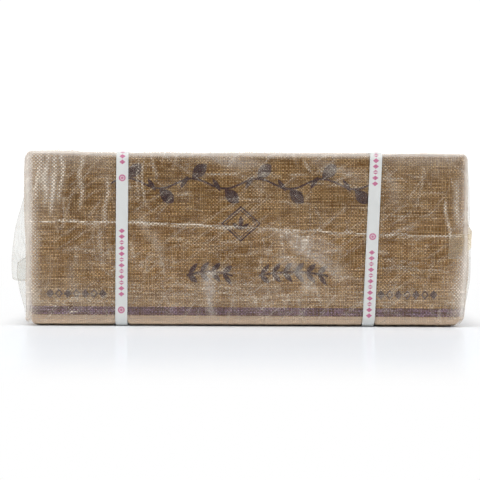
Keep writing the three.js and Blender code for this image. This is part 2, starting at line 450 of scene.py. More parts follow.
class Value:
    """A number on a socket, with Python's operators. Each operation adds one Math node."""

    def __init__(self, tree: "ShaderTree", socket: bpy.types.NodeSocket) -> None:
        """Wraps a socket of that tree."""
        self.tree = tree
        self.socket = socket

    def _math(self, operation: str, *inputs: Input) -> "Value":
        """The result of a Math node on these inputs."""
        node = self.tree.node("ShaderNodeMath", {"operation": operation}, dict(enumerate(inputs)))
        return Value(self.tree, node.outputs[0])

    def __add__(self, other: Input) -> "Value":
        """self + other."""
        return self._math("ADD", self, other)

    def __radd__(self, other: Input) -> "Value":
        """other + self."""
        return self._math("ADD", other, self)

    def __sub__(self, other: Input) -> "Value":
        """self - other."""
        return self._math("SUBTRACT", self, other)

    def __rsub__(self, other: Input) -> "Value":
        """other - self."""
        return self._math("SUBTRACT", other, self)

    def __mul__(self, other: Input) -> "Value":
        """self * other."""
        return self._math("MULTIPLY", self, other)

    def __rmul__(self, other: Input) -> "Value":
        """other * self."""
        return self._math("MULTIPLY", other, self)

    def __truediv__(self, other: Input) -> "Value":
        """self / other."""
        return self._math("DIVIDE", self, other)

    def __pow__(self, other: Input) -> "Value":
        """self to the power of other."""
        return self._math("POWER", self, other)

    def __neg__(self) -> "Value":
        """0 - self."""
        return self._math("SUBTRACT", 0.0, self)

    def __abs__(self) -> "Value":
        """Size without sign."""
        return self._math("ABSOLUTE", self)

    def sine(self) -> "Value":
        """Sine of an angle in radians."""
        return self._math("SINE", self)

    def floor(self) -> "Value":
        """Largest whole number not above it."""
        return self._math("FLOOR", self)

    def wrapped(self, low: float, high: float) -> "Value":
        """Brought into the span from low to high by whole lengths of it."""
        return self._math("WRAP", self, high, low)

    def least(self, other: Input) -> "Value":
        """The smaller of the two."""
        return self._math("MINIMUM", self, other)

    def most(self, other: Input) -> "Value":
        """The larger of the two."""
        return self._math("MAXIMUM", self, other)

    def rise(self, low: float, high: float) -> "Value":
        """0 below low, 1 above high and smooth between them; it falls instead where low is above high."""
        ends = {"From Min": low, "From Max": high, "To Min": 0.0, "To Max": 1.0}
        if low > high:
            ends = {"From Min": high, "From Max": low, "To Min": 1.0, "To Max": 0.0}
        node = self.tree.node("ShaderNodeMapRange", {"interpolation_type": "SMOOTHSTEP"}, {"Value": self, **ends})
        return Value(self.tree, node.outputs["Result"])


class ShaderTree:
    """A new material and the nodes in it."""

    def __init__(self, name: str) -> None:
        """Starts an empty material of that name."""
        self.material = bpy.data.materials.new(name)
        self.material.use_nodes = True
        self.nodes = self.material.node_tree.nodes
        self.links = self.material.node_tree.links
        self.nodes.clear()

    def node(self, kind: str, settings: dict, inputs: dict) -> bpy.types.Node:
        """Adds a node.

        Args:
            kind: The node's type.
            settings: Its properties, set before anything is linked.
            inputs: Values or links by socket name or number.

        Returns:
            The node.
        """
        node = self.nodes.new(kind)
        for name, value in settings.items():
            setattr(node, name, value)
        for key, value in inputs.items():
            socket = node.inputs[key]
            source = value.socket if isinstance(value, Value) else value
            if isinstance(source, bpy.types.NodeSocket):
                self.links.new(source, socket)
            elif isinstance(source, tuple) and len(source) == 3 and socket.type == "RGBA":
                socket.default_value = (*source, 1.0)
            else:
                socket.default_value = source
        return node

    def attribute(self, name: str) -> Value:
        """A number stored on the vertices."""
        node = self.node("ShaderNodeAttribute", {"attribute_name": name}, {})
        return Value(self, node.outputs["Fac"])

    def object_place(self) -> bpy.types.NodeSocket:
        """Object coordinates, in metres."""
        return self.node("ShaderNodeTexCoord", {}, {}).outputs["Object"]

    def flat_place(self) -> bpy.types.NodeSocket:
        """The piece's own flat coordinates, in metres."""
        return self.node("ShaderNodeUVMap", {"uv_map": "cut"}, {}).outputs["UV"]

    def parts(self, vector: bpy.types.NodeSocket) -> tuple[Value, Value, Value]:
        """The three coordinates of a vector."""
        node = self.node("ShaderNodeSeparateXYZ", {}, {"Vector": vector})
        return tuple(Value(self, output) for output in node.outputs)

    def vector(self, x: Input, y: Input, z: Input = 0.0) -> bpy.types.NodeSocket:
        """A vector from three numbers."""
        return self.node("ShaderNodeCombineXYZ", {}, {"X": x, "Y": y, "Z": z}).outputs["Vector"]

    def stretched(self, vector: bpy.types.NodeSocket, scale: Colour) -> bpy.types.NodeSocket:
        """A vector with each coordinate multiplied."""
        node = self.node("ShaderNodeVectorMath", {"operation": "MULTIPLY"}, {0: vector, 1: scale})
        return node.outputs["Vector"]

    def noise(self, vector: bpy.types.NodeSocket, scale: float, detail: float = 2.0, rough: float = 0.5) -> Value:
        """Soft noise from 0 to 1, of that many waves a metre."""
        inputs = {"Vector": vector, "Scale": scale, "Detail": detail, "Roughness": rough}
        node = self.node("ShaderNodeTexNoise", {"noise_dimensions": "3D"}, inputs)
        return Value(self, node.outputs[0])

    def random(self, value: Value, seed: float) -> Value:
        """A random number from 0 to 1 for each whole value."""
        node = self.node("ShaderNodeTexWhiteNoise", {"noise_dimensions": "2D"}, {"Vector": self.vector(value, seed)})
        return Value(self, node.outputs["Value"])

    def mix(self, share: Input, first: Input, second: Input, blend: str = "MIX") -> bpy.types.NodeSocket:
        """Two colours mixed by share."""
        settings = {"data_type": "RGBA", "blend_type": blend}
        node = self.nodes.new("ShaderNodeMix")
        for name, value in settings.items():
            setattr(node, name, value)
        for key, value in ((0, share), (6, first), (7, second)):
            source = value.socket if isinstance(value, Value) else value
            if isinstance(source, bpy.types.NodeSocket):
                self.links.new(source, node.inputs[key])
            elif isinstance(source, tuple):
                node.inputs[key].default_value = (*source, 1.0)
            else:
                node.inputs[key].default_value = source
        return node.outputs[2]

    def bump(self, height: Value, distance: float, strength: float = 1.0) -> bpy.types.NodeSocket:
        """The normal of a surface with that relief."""
        inputs = {"Height": height, "Distance": distance, "Strength": strength}
        return self.node("ShaderNodeBump", {}, inputs).outputs["Normal"]

    def principled(self, **inputs: Input) -> bpy.types.NodeSocket:
        """A Principled surface; words in socket names are joined by underscores."""
        named = {key.replace("_", " "): value for key, value in inputs.items()}
        if "Specular IOR Level" not in named and "Specular" in named:
            named["Specular IOR Level"] = named.pop("Specular")
        return self.node("ShaderNodeBsdfPrincipled", {}, named).outputs[0]

    def mixed_surface(self, share: Input, first: bpy.types.NodeSocket, second: bpy.types.NodeSocket) -> bpy.types.NodeSocket:
        """Two surfaces mixed by share."""
        return self.node("ShaderNodeMixShader", {}, {0: share, 1: first, 2: second}).outputs[0]

    def done(self, surface: bpy.types.NodeSocket) -> bpy.types.Material:
        """Links the surface to the output and gives the material."""
        self.node("ShaderNodeOutputMaterial", {}, {"Surface": surface})
        return self.material


# ------------------------------------------------------------------------------------------------ finishes


@dataclass(frozen=True)
class PrintDesign:
    """A generic print in one dark ink: a garland of leaf pairs, a lozenge with a bud, two sprigs and two rows of beads."""

    edge: float = 0.5 * MM
    garland_start: float = -138 * MM
    garland_end: float = 122 * MM
    garland_pitch: float = 32.5 * MM
    garland_height: float = 143 * MM
    garland_sway: float = 5 * MM
    lozenge_place: tuple[float, float] = (-8 * MM, 103 * MM)
    lozenge_half: tuple[float, float] = (19 * MM, 17 * MM)
    sprig_height: float = 55 * MM
    sprig_spans: tuple[tuple[float, float], ...] = ((-62 * MM, -16 * MM), (10 * MM, 80 * MM))
    bead_height: float = 32.5 * MM
    bead_pitch: float = 8.8 * MM
    bead_half: tuple[float, float] = (4.1 * MM, 4.8 * MM)
    bead_rim: float = 2.1 * MM
    bead_spans: tuple[tuple[float, float], ...] = ((-203 * MM, -141.4 * MM), (128 * MM, 189.6 * MM))

    def inside(self, gap: Value) -> Value:
        """1 where gap, a distance into a shape, is positive."""
        return gap.rise(-self.edge, self.edge)

    def span(self, x: Value, low: float, high: float) -> Value:
        """1 between low and high."""
        return self.inside((high - low) / 2.0 - abs(x - (low + high) / 2.0))

    def leaf(self, along: Value, across: Value, length: float, width: float) -> Value:
        """A pointed leaf: inside where |across| is under width * (1 - (along / length)^2)."""
        return self.inside(width * (1.0 - (along / length) ** 2.0) - abs(across))

    def garland(self, x: Value, z: Value) -> Value:
        """A swaying stem with a large leaf and a small one at every pitch, on turning sides."""
        start, pitch = self.garland_start, self.garland_pitch
        sway = ((x - start) * (math.pi / pitch)).sine() * self.garland_sway
        over = z - self.garland_height - sway
        stem = self.inside(1.1 * MM - abs(over))
        cell = ((x - start) / pitch).floor()
        side = 1.0 - (cell.wrapped(0.0, 2.0)) * 2.0
        here = x - start - (cell + 0.5) * pitch
        tall = over * side
        slant = math.radians(52)
        along = here * math.cos(slant) + tall * math.sin(slant)
        across = tall * math.cos(slant) - here * math.sin(slant)
        large = self.leaf(along - 11.5 * MM, across, 11.5 * MM, 5.2 * MM)
        small_along = tall * (-math.sin(slant)) - here * math.cos(slant)
        small_across = here * math.sin(slant) - tall * math.cos(slant)
        small = self.leaf(small_along - 6.5 * MM, small_across + 5.0 * MM, 6.5 * MM, 2.8 * MM)
        window = self.span(x, start, self.garland_end)
        return stem.most(large).most(small) * window

    def lozenge(self, x: Value, z: Value) -> Value:
        """Two nested lozenge outlines round a bud between two leaves."""
        right = x - self.lozenge_place[0]
        up = z - self.lozenge_place[1]
        wide, high = self.lozenge_half
        reach = abs(right) * (high / wide) + abs(up)
        rim = self.inside(1.1 * MM - abs(reach - high)).most(self.inside(0.6 * MM - abs(reach - high * 0.8)))
        bud = self.leaf(up - 1.0 * MM, right, 7.5 * MM, 2.3 * MM)
        slant = math.radians(35)
        along = abs(right) * math.cos(slant) + (up + 5.5 * MM) * math.sin(slant)
        across = (up + 5.5 * MM) * math.cos(slant) - abs(right) * math.sin(slant)
        leaves = self.leaf(along - 5.2 * MM, across, 5.2 * MM, 1.9 * MM)
        return rim.most(bud).most(leaves)

    def sprig(self, x: Value, z: Value, low: float, high: float) -> Value:
        """A level twig between two places, with leaf pairs at even steps."""
        pitch = 11.5 * MM
        middle = (low + high) / 2.0
        bow = ((x - middle) / (high - low)) ** 2.0 * (16 * MM)
        over = abs(z - self.sprig_height + bow)
        stem = self.inside(1.1 * MM - over)
        here = (x - low).wrapped(0.0, pitch) - 2.0 * MM
        slant = math.radians(48)
        along = here * math.cos(slant) + over * math.sin(slant)
        across = over * math.cos(slant) - here * math.sin(slant)
        leaves = self.leaf(along - 6.4 * MM, across, 6.8 * MM, 2.6 * MM)
        return stem.most(leaves) * self.span(x, low, high)

    def beads(self, x: Value, z: Value, low: float, high: float) -> Value:
        """A row of small lozenges, every other one hollow."""
        cell = ((x - low) / self.bead_pitch).floor()
        here = abs(x - low - (cell + 0.5) * self.bead_pitch)
        wide, high_half = self.bead_half
        gap = high_half - abs(z - self.bead_height) - here * (high_half / wide)
        hollow = self.inside(gap - self.bead_rim) * cell.wrapped(0.0, 2.0)
        return self.inside(gap) * (1.0 - hollow) * self.span(x, low, high)

    def mask(self, x: Value, z: Value) -> Value:
        """The whole print: 1 where there is ink.

        Args:
            x: Way along the face, from its middle.
            z: Height over the table.

        Returns:
            Ink from 0 to 1.
        """
        ink = self.garland(x, z).most(self.lozenge(x, z))
        for low, high in self.sprig_spans:
            ink = ink.most(self.sprig(x, z, low, high))
        for low, high in self.bead_spans:
            ink = ink.most(self.beads(x, z, low, high))
        return ink


@dataclass(frozen=True)
class Weave:
    """A plain weave: yarns one pitch apart both ways, each crossing with the other yarn on top of its neighbours."""

    warp_pitch: float = 1.83 * MM
    weft_pitch: float = 1.72 * MM
    drift: float = 1.6 * MM
    weft_stretch: float = 6.5
    warp_stretch: float = 3.5
    row_stretch: float = 26.0

    def yarns(self, tree: ShaderTree, place: bpy.types.NodeSocket) -> tuple[Value, Value]:
        """The way across the warp and across the weft, in yarns, with a slow drift so that no yarn is dead straight."""
        u, v, _ = tree.parts(tree.flat_place())
        drift = (tree.noise(place, 30.0, 1.0) - 0.5) * self.drift
        return (u + drift) / self.warp_pitch, (v + drift * 0.8) / self.weft_pitch

    def strand(self, tree: ShaderTree, along: Value, yarn: Value, seed: float) -> Value:
        """Unevenness along each yarn, from 0 to 1, that owes nothing to the yarns beside it.

        Noise whose second coordinate jumps from yarn to yarn.

        Args:
            tree: The material's nodes.
            along: Way along the yarn, in lengths of one uneven stretch.
            yarn: Way across the yarns, in yarns.
            seed: Where the noise is read.

        Returns:
            The unevenness.
        """
        return tree.noise(tree.vector(along, yarn.floor() * 7.31 + seed), 1.0, 2.0, 0.6)

    def row_tone(self, tree: ShaderTree, warp: Value, weft: Value, seed: float) -> Value:
        """A slower change along each row of weft, from 0 to 1."""
        return self.strand(tree, warp / self.row_stretch, weft, seed).rise(0.27, 0.73)

    def weft_light(self, tree: ShaderTree, warp: Value, weft: Value) -> Value:
        """How much each stretch of weft catches the light, from 0 to 1."""
        row = self.row_tone(tree, warp, weft, 110.0)
        return self.strand(tree, warp / self.weft_stretch, weft, 3.0) * 0.75 + row * 0.25

    def warp_light(self, tree: ShaderTree, warp: Value, weft: Value) -> Value:
        """How much each stretch of warp catches the light, from 0 to 1."""
        return self.strand(tree, weft / self.warp_stretch, warp, 40.0) * 0.7 + tree.random(warp.floor(), 5.0) * 0.3

    def crossing(self, warp: Value, weft: Value) -> Value:
        """sin(pi * warp) * sin(pi * weft): a hump over every crossing, above 0 where the warp is on top."""
        return (warp * math.pi).sine() * (weft * math.pi).sine()


@dataclass(frozen=True)
class ClothFinish:
    """Plain weave of flat shiny yarns, golden brown one way and paler the other, with a dark print and border."""

    weave: Weave = Weave()
    dark_colour: Colour = (0.330, 0.142, 0.010)
    light_colour: Colour = (0.870, 0.565, 0.240)
    warp_tint: Colour = (0.80, 0.77, 0.72)
    pale_colour: Colour = (0.98, 0.78, 0.54)
    # Painted shade: a near-black brown laid in the dips between yarns and along the cloth's foot over the table.
    gap_shade_colour: Colour = (0.040, 0.018, 0.004)
    # Painted light: the hem under the border is paler, as if lit from the white table below.
    hem_lit_colour: Colour = (0.72, 0.585, 0.530)
    ink_colour: Colour = (0.050, 0.016, 0.028)
    ink_tint: Colour = (0.36, 0.20, 0.42)
    border_tint: Colour = (0.58, 0.54, 2.25)
    golden_tint: Colour = (0.93, 0.89, 0.72)
    golden_place: tuple[float, float] = (-72 * MM, 138 * MM)
    golden_reach: tuple[float, float] = (50 * MM, 34 * MM)
    border_low: float = 11.0 * MM
    border_high: float = 19.4 * MM
    border_slope: float = -1.3 / 436.0
    face_start: float = 0.1
    design: PrintDesign = field(default_factory=PrintDesign)

    def build(self) -> bpy.types.Material:
        """The cloth's material."""
        tree = ShaderTree("woven_cover")
        place = tree.object_place()
        x, y, z = tree.parts(place)
        warp, weft = self.weave.yarns(tree, place)
        over_warp, over_weft = abs((warp * math.pi).sine()), abs((weft * math.pi).sine())
        warp_on_top = self.weave.crossing(warp, weft).rise(-0.12, 0.12)
        rise = over_warp ** (0.25 + 0.45 * warp_on_top) * over_weft ** (0.70 - 0.45 * warp_on_top)
        colour = self.yarns(tree, place, warp, weft, warp_on_top)
        # Painted shade: the low dips between the yarns are darkened towards the gap colour.
        colour = tree.mix(rise.rise(0.62, 0.05), colour, self.gap_shade_colour)
        wobble = (tree.noise(place, 260.0, 1.0) - 0.5) * (0.9 * MM)
        level = z + wobble - x * self.border_slope
        upright = abs(y).rise(self.face_start - 0.02, self.face_start)
        # Painted light: the hem under the border is made paler, with pale threads, as if lit from the white table
        # below.
        lit_hem = level.rise(self.border_low, self.border_low - 1.0 * MM)
        colour = tree.mix(lit_hem * 0.75, colour, tree.mix(weft.wrapped(0.0, 1.0).rise(0.1, 0.9), self.hem_lit_colour, self.pale_colour))
        border = level.rise(self.border_low - 0.4 * MM, self.border_low + 0.4 * MM) * level.rise(
            self.border_high + 0.4 * MM, self.border_high - 0.4 * MM
        )
        facing = y.rise(0.01, -0.01) * 2.0 - 1.0
        ink = self.design.mask(x * facing + wobble, z + wobble) * upright
        wear = tree.noise(place, 420.0, 2.0).rise(0.30, 0.55)
        inked = tree.mix(0.74, tree.mix(1.0, colour, self.ink_tint, "MULTIPLY"), self.ink_colour)
        colour = tree.mix(ink * (0.84 + 0.15 * wear), colour, inked)
        edged = tree.mix(0.17, tree.mix(1.0, colour, self.border_tint, "MULTIPLY"), self.ink_colour)
        colour = tree.mix(border * (0.86 + 0.12 * wear), colour, edged)
        relief = over_warp ** 0.4 * over_weft ** 0.4
        # Painted shade: the lowest few millimetres of the cloth are darkened to the gap colour, a contact shadow over
        # the table.
        colour = tree.mix(z.rise(3.4 * MM, 0.9 * MM) * 0.97, colour, self.gap_shade_colour)
        surface = tree.principled(
            Base_Color=colour,
            Roughness=0.42 + 0.2 * (1.0 - rise),
            Specular=0.3,
            Normal=tree.bump(relief, 0.35 * MM, 0.8),
        )
        return tree.done(surface)

    def yarns(
        self, tree: ShaderTree, place: bpy.types.NodeSocket, warp: Value, weft: Value, warp_on_top: Value
    ) -> bpy.types.NodeSocket:
        """The colour of the yarns: proud rows are lighter, and where the warp is on top it is a little darker. The
        cloth is also painted lighter low down and darker high up, a painted gradient of the light thrown up from the
        table.

        Args:
            tree: The material's nodes.
            place: Object coordinates.
            warp: Way across the warp, in yarns.
            weft: Way across the weft, in yarns.
            warp_on_top: 1 where a warp yarn is on top.

        Returns:
            The colour socket.
        """
        weft_light = self.weave.weft_light(tree, warp, weft)
        warp_light = self.weave.warp_light(tree, warp, weft)
        # Partly painted sheen: each yarn runs from dark to light by how much it catches the light, and partly by its
        # own tone.
        lying = tree.mix(weft_light.rise(0.34, 0.68), self.dark_colour, self.light_colour)
        rising = tree.mix(0.12 + warp_light.rise(0.34, 0.80) * 0.70, self.dark_colour, self.light_colour)
        rising = tree.mix(1.0, rising, self.warp_tint, "MULTIPLY")
        colour = tree.mix(warp_on_top, lying, rising)
        patch = tree.noise(place, 14.0, 3.0)
        rows = 0.82 + 0.20 * weft.floor().wrapped(0.0, 2.0) + 0.16 * self.weave.row_tone(tree, warp, weft, 170.0)
        x, _, z = tree.parts(place)
        across, up = (x - self.golden_place[0]) / self.golden_reach[0], (z - self.golden_place[1]) / self.golden_reach[1]
        colour = tree.mix((across * across + up * up).rise(1.0, 0.2), colour, tree.mix(1.0, colour, self.golden_tint, "MULTIPLY"))
        # Random patches and row tone, and painted light: the lower cloth is made up to 6 % lighter and the upper up to
        # 5 % darker, as the table's bounce lights the lower front.
        tone_and_painted_light = (0.88 + 0.24 * patch) * rows * (1.06 - 0.11 * z.rise(80 * MM, 128 * MM))
        return tree.mix(1.0, colour, tree.vector(tone_and_painted_light, tone_and_painted_light, tone_and_painted_light), "MULTIPLY")


@dataclass(frozen=True)
class FilmFinish:
    """Thin clear crinkled film.

    What lies behind shows through. A milky share is added on folds and fine veins, partly real whitening and partly
    painted glints, and it sparkles where the film clings to the weave: painted glints laid in as a milky colour on the
    yarns' knuckles. Gloss grows at glancing angles, up to a limit, because the film is never flat.
    """

    name: str
    haze: float = 0.01
    crease_haze: float = 0.95
    vein_haze: float = 0.55
    # Painted light: milk added low on the front, for the table's light thrown up onto the lower cloth.
    low_bounce_light: float = 0.22
    cling: float = 1.0
    tint: Colour = (1.0, 1.0, 1.0)
    milk: Colour = (0.97, 0.91, 0.84)
    glint: Colour = (0.98, 0.86, 0.70)
    shine: Colour = (1.0, 0.96, 0.90)
    roughness: float = 0.17
    most_gloss: float = 0.75
    crinkle: float = 0.35 * MM
    weave: Weave = Weave()

    def build(self) -> bpy.types.Material:
        """The film's material.

        It reads two attributes: crease, 0 where the film is smooth and 1 on a sharp fold, and veil, an even milkiness
        that is partly painted highlight and painted reflection along the edges and the top.
        """
        tree = ShaderTree(self.name)
        place = tree.object_place()
        x, y, z = tree.parts(place)
        crease = tree.attribute("crease")
        fine = tree.noise(tree.stretched(tree.flat_place(), (1.0, 0.5, 1.0)), 240.0, 3.0, 0.6)
        patches = tree.noise(place, 21.0, 3.0, 0.6).rise(0.42, 0.70)
        veins = self.veins(tree, place)
        veil = tree.attribute("veil") * (0.7 + 0.6 * fine)
        relief = fine * 0.6 + veins * 0.9
        pattern = glints = 0.35 + fine
        taut = x.rise(-0.16, 0.20) * 0.55
        lines = (veins + 0.22) * patches * (1.0 - taut) * self.vein_haze
        if self.cling:
            warp, weft = self.weave.yarns(tree, place)
            knuckle = abs((weft * math.pi).sine()) * (0.55 + 0.45 * abs((warp * math.pi).sine()))
            spark = self.weave.weft_light(tree, warp, weft).rise(0.42, 0.80)
            cell = tree.random(warp.floor() + weft.floor() * 61.0, 7.0)
            spark = spark * (0.35 + 1.3 * cell)
            touching = patches.most(crease.rise(0.1, 0.5))
            seam = self.seam(x, y, z, fine)
            relief = relief + knuckle * touching * (0.35 + 1.5 * spark) * self.cling + seam * 1.4
            # Painted glints: the knuckle and checker patterns make the diffuse milk sparkle on the weave, and on the
            # folds and veins.
            pattern = 0.26 + knuckle * (0.20 + 2.0 * spark) * (fine + 0.3)
            glints = 0.26 + (-self.weave.crossing(warp, weft)).rise(-0.10, 0.55) * (0.50 + 0.95 * cell)
            # Painted light: a milky lift from about 9 to 56 mm up, for the table's light thrown up onto the lower
            # cloth.
            low = z.rise(56 * MM, 24 * MM) * (0.25 * z.rise(9 * MM, 12 * MM) + 0.75 * z.rise(19 * MM, 22 * MM))
            lines = lines + low * self.low_bounce_light + seam * fine.rise(0.35, 0.65)
        folded = crease.rise(0.5, 0.95)
        # Painted shade: near the table the milk and the shine are cut away, so that the foot stays dark as a contact
        # shadow.
        off_table = z.rise(1.5 * MM, 6.0 * MM)
        knotted = crease * self.crease_haze * (glints * (1.0 - folded) + folded) + lines * pattern
        milky = self.haze + (knotted + veil) * off_table
        normal = tree.bump(relief, self.crinkle)
        clear = tree.node("ShaderNodeBsdfTransparent", {}, {"Color": self.tint}).outputs[0]
        milk = tree.mix(veil.rise(0.02, 0.30), self.glint, self.milk)
        cloudy = tree.node("ShaderNodeBsdfDiffuse", {}, {"Color": milk}).outputs[0]
        gloss = {"Color": self.shine, "Roughness": self.roughness, "Normal": normal}
        shine = tree.node("ShaderNodeBsdfGlossy", {}, gloss).outputs[0]
        fresnel = Value(tree, tree.node("ShaderNodeFresnel", {}, {"IOR": 1.45, "Normal": normal}).outputs[0])
        body = tree.mixed_surface(milky.least(0.92), clear, cloudy)
        return tree.done(tree.mixed_surface(fresnel.least(self.most_gloss) * off_table, body, shine))

    def veins(self, tree: ShaderTree, place: bpy.types.NodeSocket) -> Value:
        """Fine wrinkles in two families, one running up and one along, each in its own regions.

        A wrinkle runs where a stretched noise passes its middle.
        """
        flat = tree.flat_place()
        upright = tree.noise(tree.stretched(flat, (1.0, 0.26, 1.0)), 52.0, 2.0)
        level = tree.noise(tree.stretched(flat, (0.28, 1.0, 1.0)), 47.0, 2.0)
        region = tree.noise(place, 9.0, 2.0)
        rising = abs(upright - 0.5).rise(0.030, 0.0) * region.rise(0.48, 0.58)
        lying = abs(level - 0.5).rise(0.026, 0.0) * region.rise(0.50, 0.40)
        return rising.most(lying)

    def seam(self, x: Value, y: Value, z: Value, waver: Value) -> Value:
        """The film's long level fold across the front, which drops a little to the right."""
        fall = x.rise(-0.16, 0.22) * (13.5 * MM)
        away = abs(z - 104.5 * MM + fall + (waver - 0.5) * (1.5 * MM))
        return away.rise(0.75 * MM, 0.1 * MM) * y.rise(-0.100, -0.106)


@dataclass(frozen=True)
class StrapFinish:
    """White woven-look strapping with a pressed diamond grain and a worn pink print of lozenges and rings."""

    name: str
    phase: float
    direction: float
    white: Colour = (0.735, 0.750, 0.740)
    ink: Colour = (0.52, 0.10, 0.24)
    repeat: float = 132 * MM
    mark_pitch: float = 5.75 * MM
    marks_start: float = 13 * MM
    marks_end: float = 82 * MM
    bead_half: tuple[float, float] = (2.4 * MM, 3.1 * MM)
    ring_radius: float = 2.7 * MM
    grain: float = 1.6 * MM

    def build(self) -> bpy.types.Material:
        """The strap's material. Its flat coordinates are the way along the strap and the way across it."""
        tree = ShaderTree(self.name)
        u, v, _ = tree.parts(tree.flat_place())
        place = tree.object_place()
        along = ((u - self.phase) * self.direction).wrapped(-10 * MM, self.repeat - 10 * MM)
        soft = 0.35 * MM
        here = (along - self.marks_start).wrapped(0.0, self.mark_pitch) - self.mark_pitch / 2.0
        window = (along.rise(self.marks_start - soft, self.marks_start + soft)) * along.rise(
            self.marks_end + soft, self.marks_end - soft
        )
        cell = ((along - self.marks_start) / self.mark_pitch).floor()
        bead = (self.bead_half[1] - abs(v) - abs(here) * (self.bead_half[1] / self.bead_half[0])).rise(-soft, soft)
        slit = (0.45 * MM - abs(here)).rise(-soft, soft) * tree.random(cell, 5.0).rise(0.45, 0.55)
        marks = bead * (1.0 - slit) * window
        radius = (along * along + v * v) ** 0.5
        ring = (0.75 * MM - abs(radius - self.ring_radius)).most(1.4 * MM - radius).rise(-soft, soft)
        wear = tree.noise(place, 900.0, 2.0).rise(0.25, 0.6)
        fade = tree.noise(place, 18.0, 1.0).rise(0.3, 0.7)
        ink = marks.most(ring) * (0.68 + 0.24 * wear + 0.08 * fade)
        grain = ((u + v) * (math.pi / self.grain)).sine() * ((u - v) * (math.pi / self.grain)).sine()
        dirt = tree.noise(place, 60.0, 3.0).rise(0.55, 0.85) * 0.10
        # Painted shade in the grooves of the pressed grain, together with real dirt in patches.
        base = tree.mix(dirt + 0.14 * abs(grain).rise(0.7, 0.1), self.white, (0.50, 0.48, 0.42))
        surface = tree.principled(
            Base_Color=tree.mix(ink, base, self.ink),
            Roughness=0.38 + 0.12 * abs(grain),
            Specular=0.5,
            Normal=tree.bump(abs(grain), 0.12 * MM, 0.7),
        )
        return tree.done(surface)


# ------------------------------------------------------------------------------------------------ straps


@dataclass(frozen=True)
class StrapPath:
    """Where a strap runs: round the pack at a place along X, leaning with height."""

    x: float
    lean: float
    width: float = 12 * MM
    thickness: float = 0.9 * MM
    proud: float = 0.55 * MM
    underside: float = 0.25 * MM

    def centre(self, z: Array) -> Array:
        """The strap's middle along X at a height."""
        return self.x + self.lean * (z - CLOTH_HEIGHT / 2.0)

    def sink(self, out: Array) -> Array:
        """How far the strap's inner face lies under the film's form, for the outward directions there."""
        top = self.proud - (self.proud + self.underside) * smooth(-out[:, 2], 0.0, 1.0)
        return self.thickness - top

    def under(self, places: Array) -> Array:
        """1 under the strap, falling to 0 just beside it."""
        away = np.abs(places[:, 0] - self.centre(places[:, 2])) - self.width / 2.0
        return 1.0 - smooth(away, 0.3 * MM, 3.2 * MM)

    def line(self, step: float = 1.6 * MM, corner_steps: int = 7) -> tuple[Array, Array]:
        """The strap's middle line on the film's form, once round, and the outward direction at each point.

        Args:
            step: About how far apart the points are on the flats.
            corner_steps: Points over each half edge.

        Returns:
            Points and directions, starting at the front's foot and going up.
        """
        form = FILM_FORM
        radius = 9 * MM
        z = stations(form.low[2], form.high[2], radius, corner_steps, step)
        y = stations(form.low[1], form.high[1], radius, corner_steps, step)
        front = np.stack([np.full(len(z) - 1, form.low[1]), z[:-1]], axis=-1)
        top = np.stack([y[:-1], np.full(len(y) - 1, form.high[2])], axis=-1)
        back = np.stack([np.full(len(z) - 1, form.high[1]), z[:0:-1]], axis=-1)
        base = np.stack([y[:0:-1], np.full(len(y) - 1, form.low[2])], axis=-1)
        girth = np.concatenate([front, top, back, base])
        places = np.column_stack([self.centre(girth[:, 1]), girth])
        points, _ = form.place(places)
        ahead = np.roll(points, -1, axis=0) - np.roll(points, 1, axis=0)
        out = unit(np.stack([np.zeros(len(points)), -ahead[:, 2], ahead[:, 1]], axis=-1))
        return points, out


STRAPS = {
    "strap_left": StrapPath(x=-126.9 * MM, lean=0.004),
    "strap_right": StrapPath(x=123.6 * MM, lean=0.041),
}


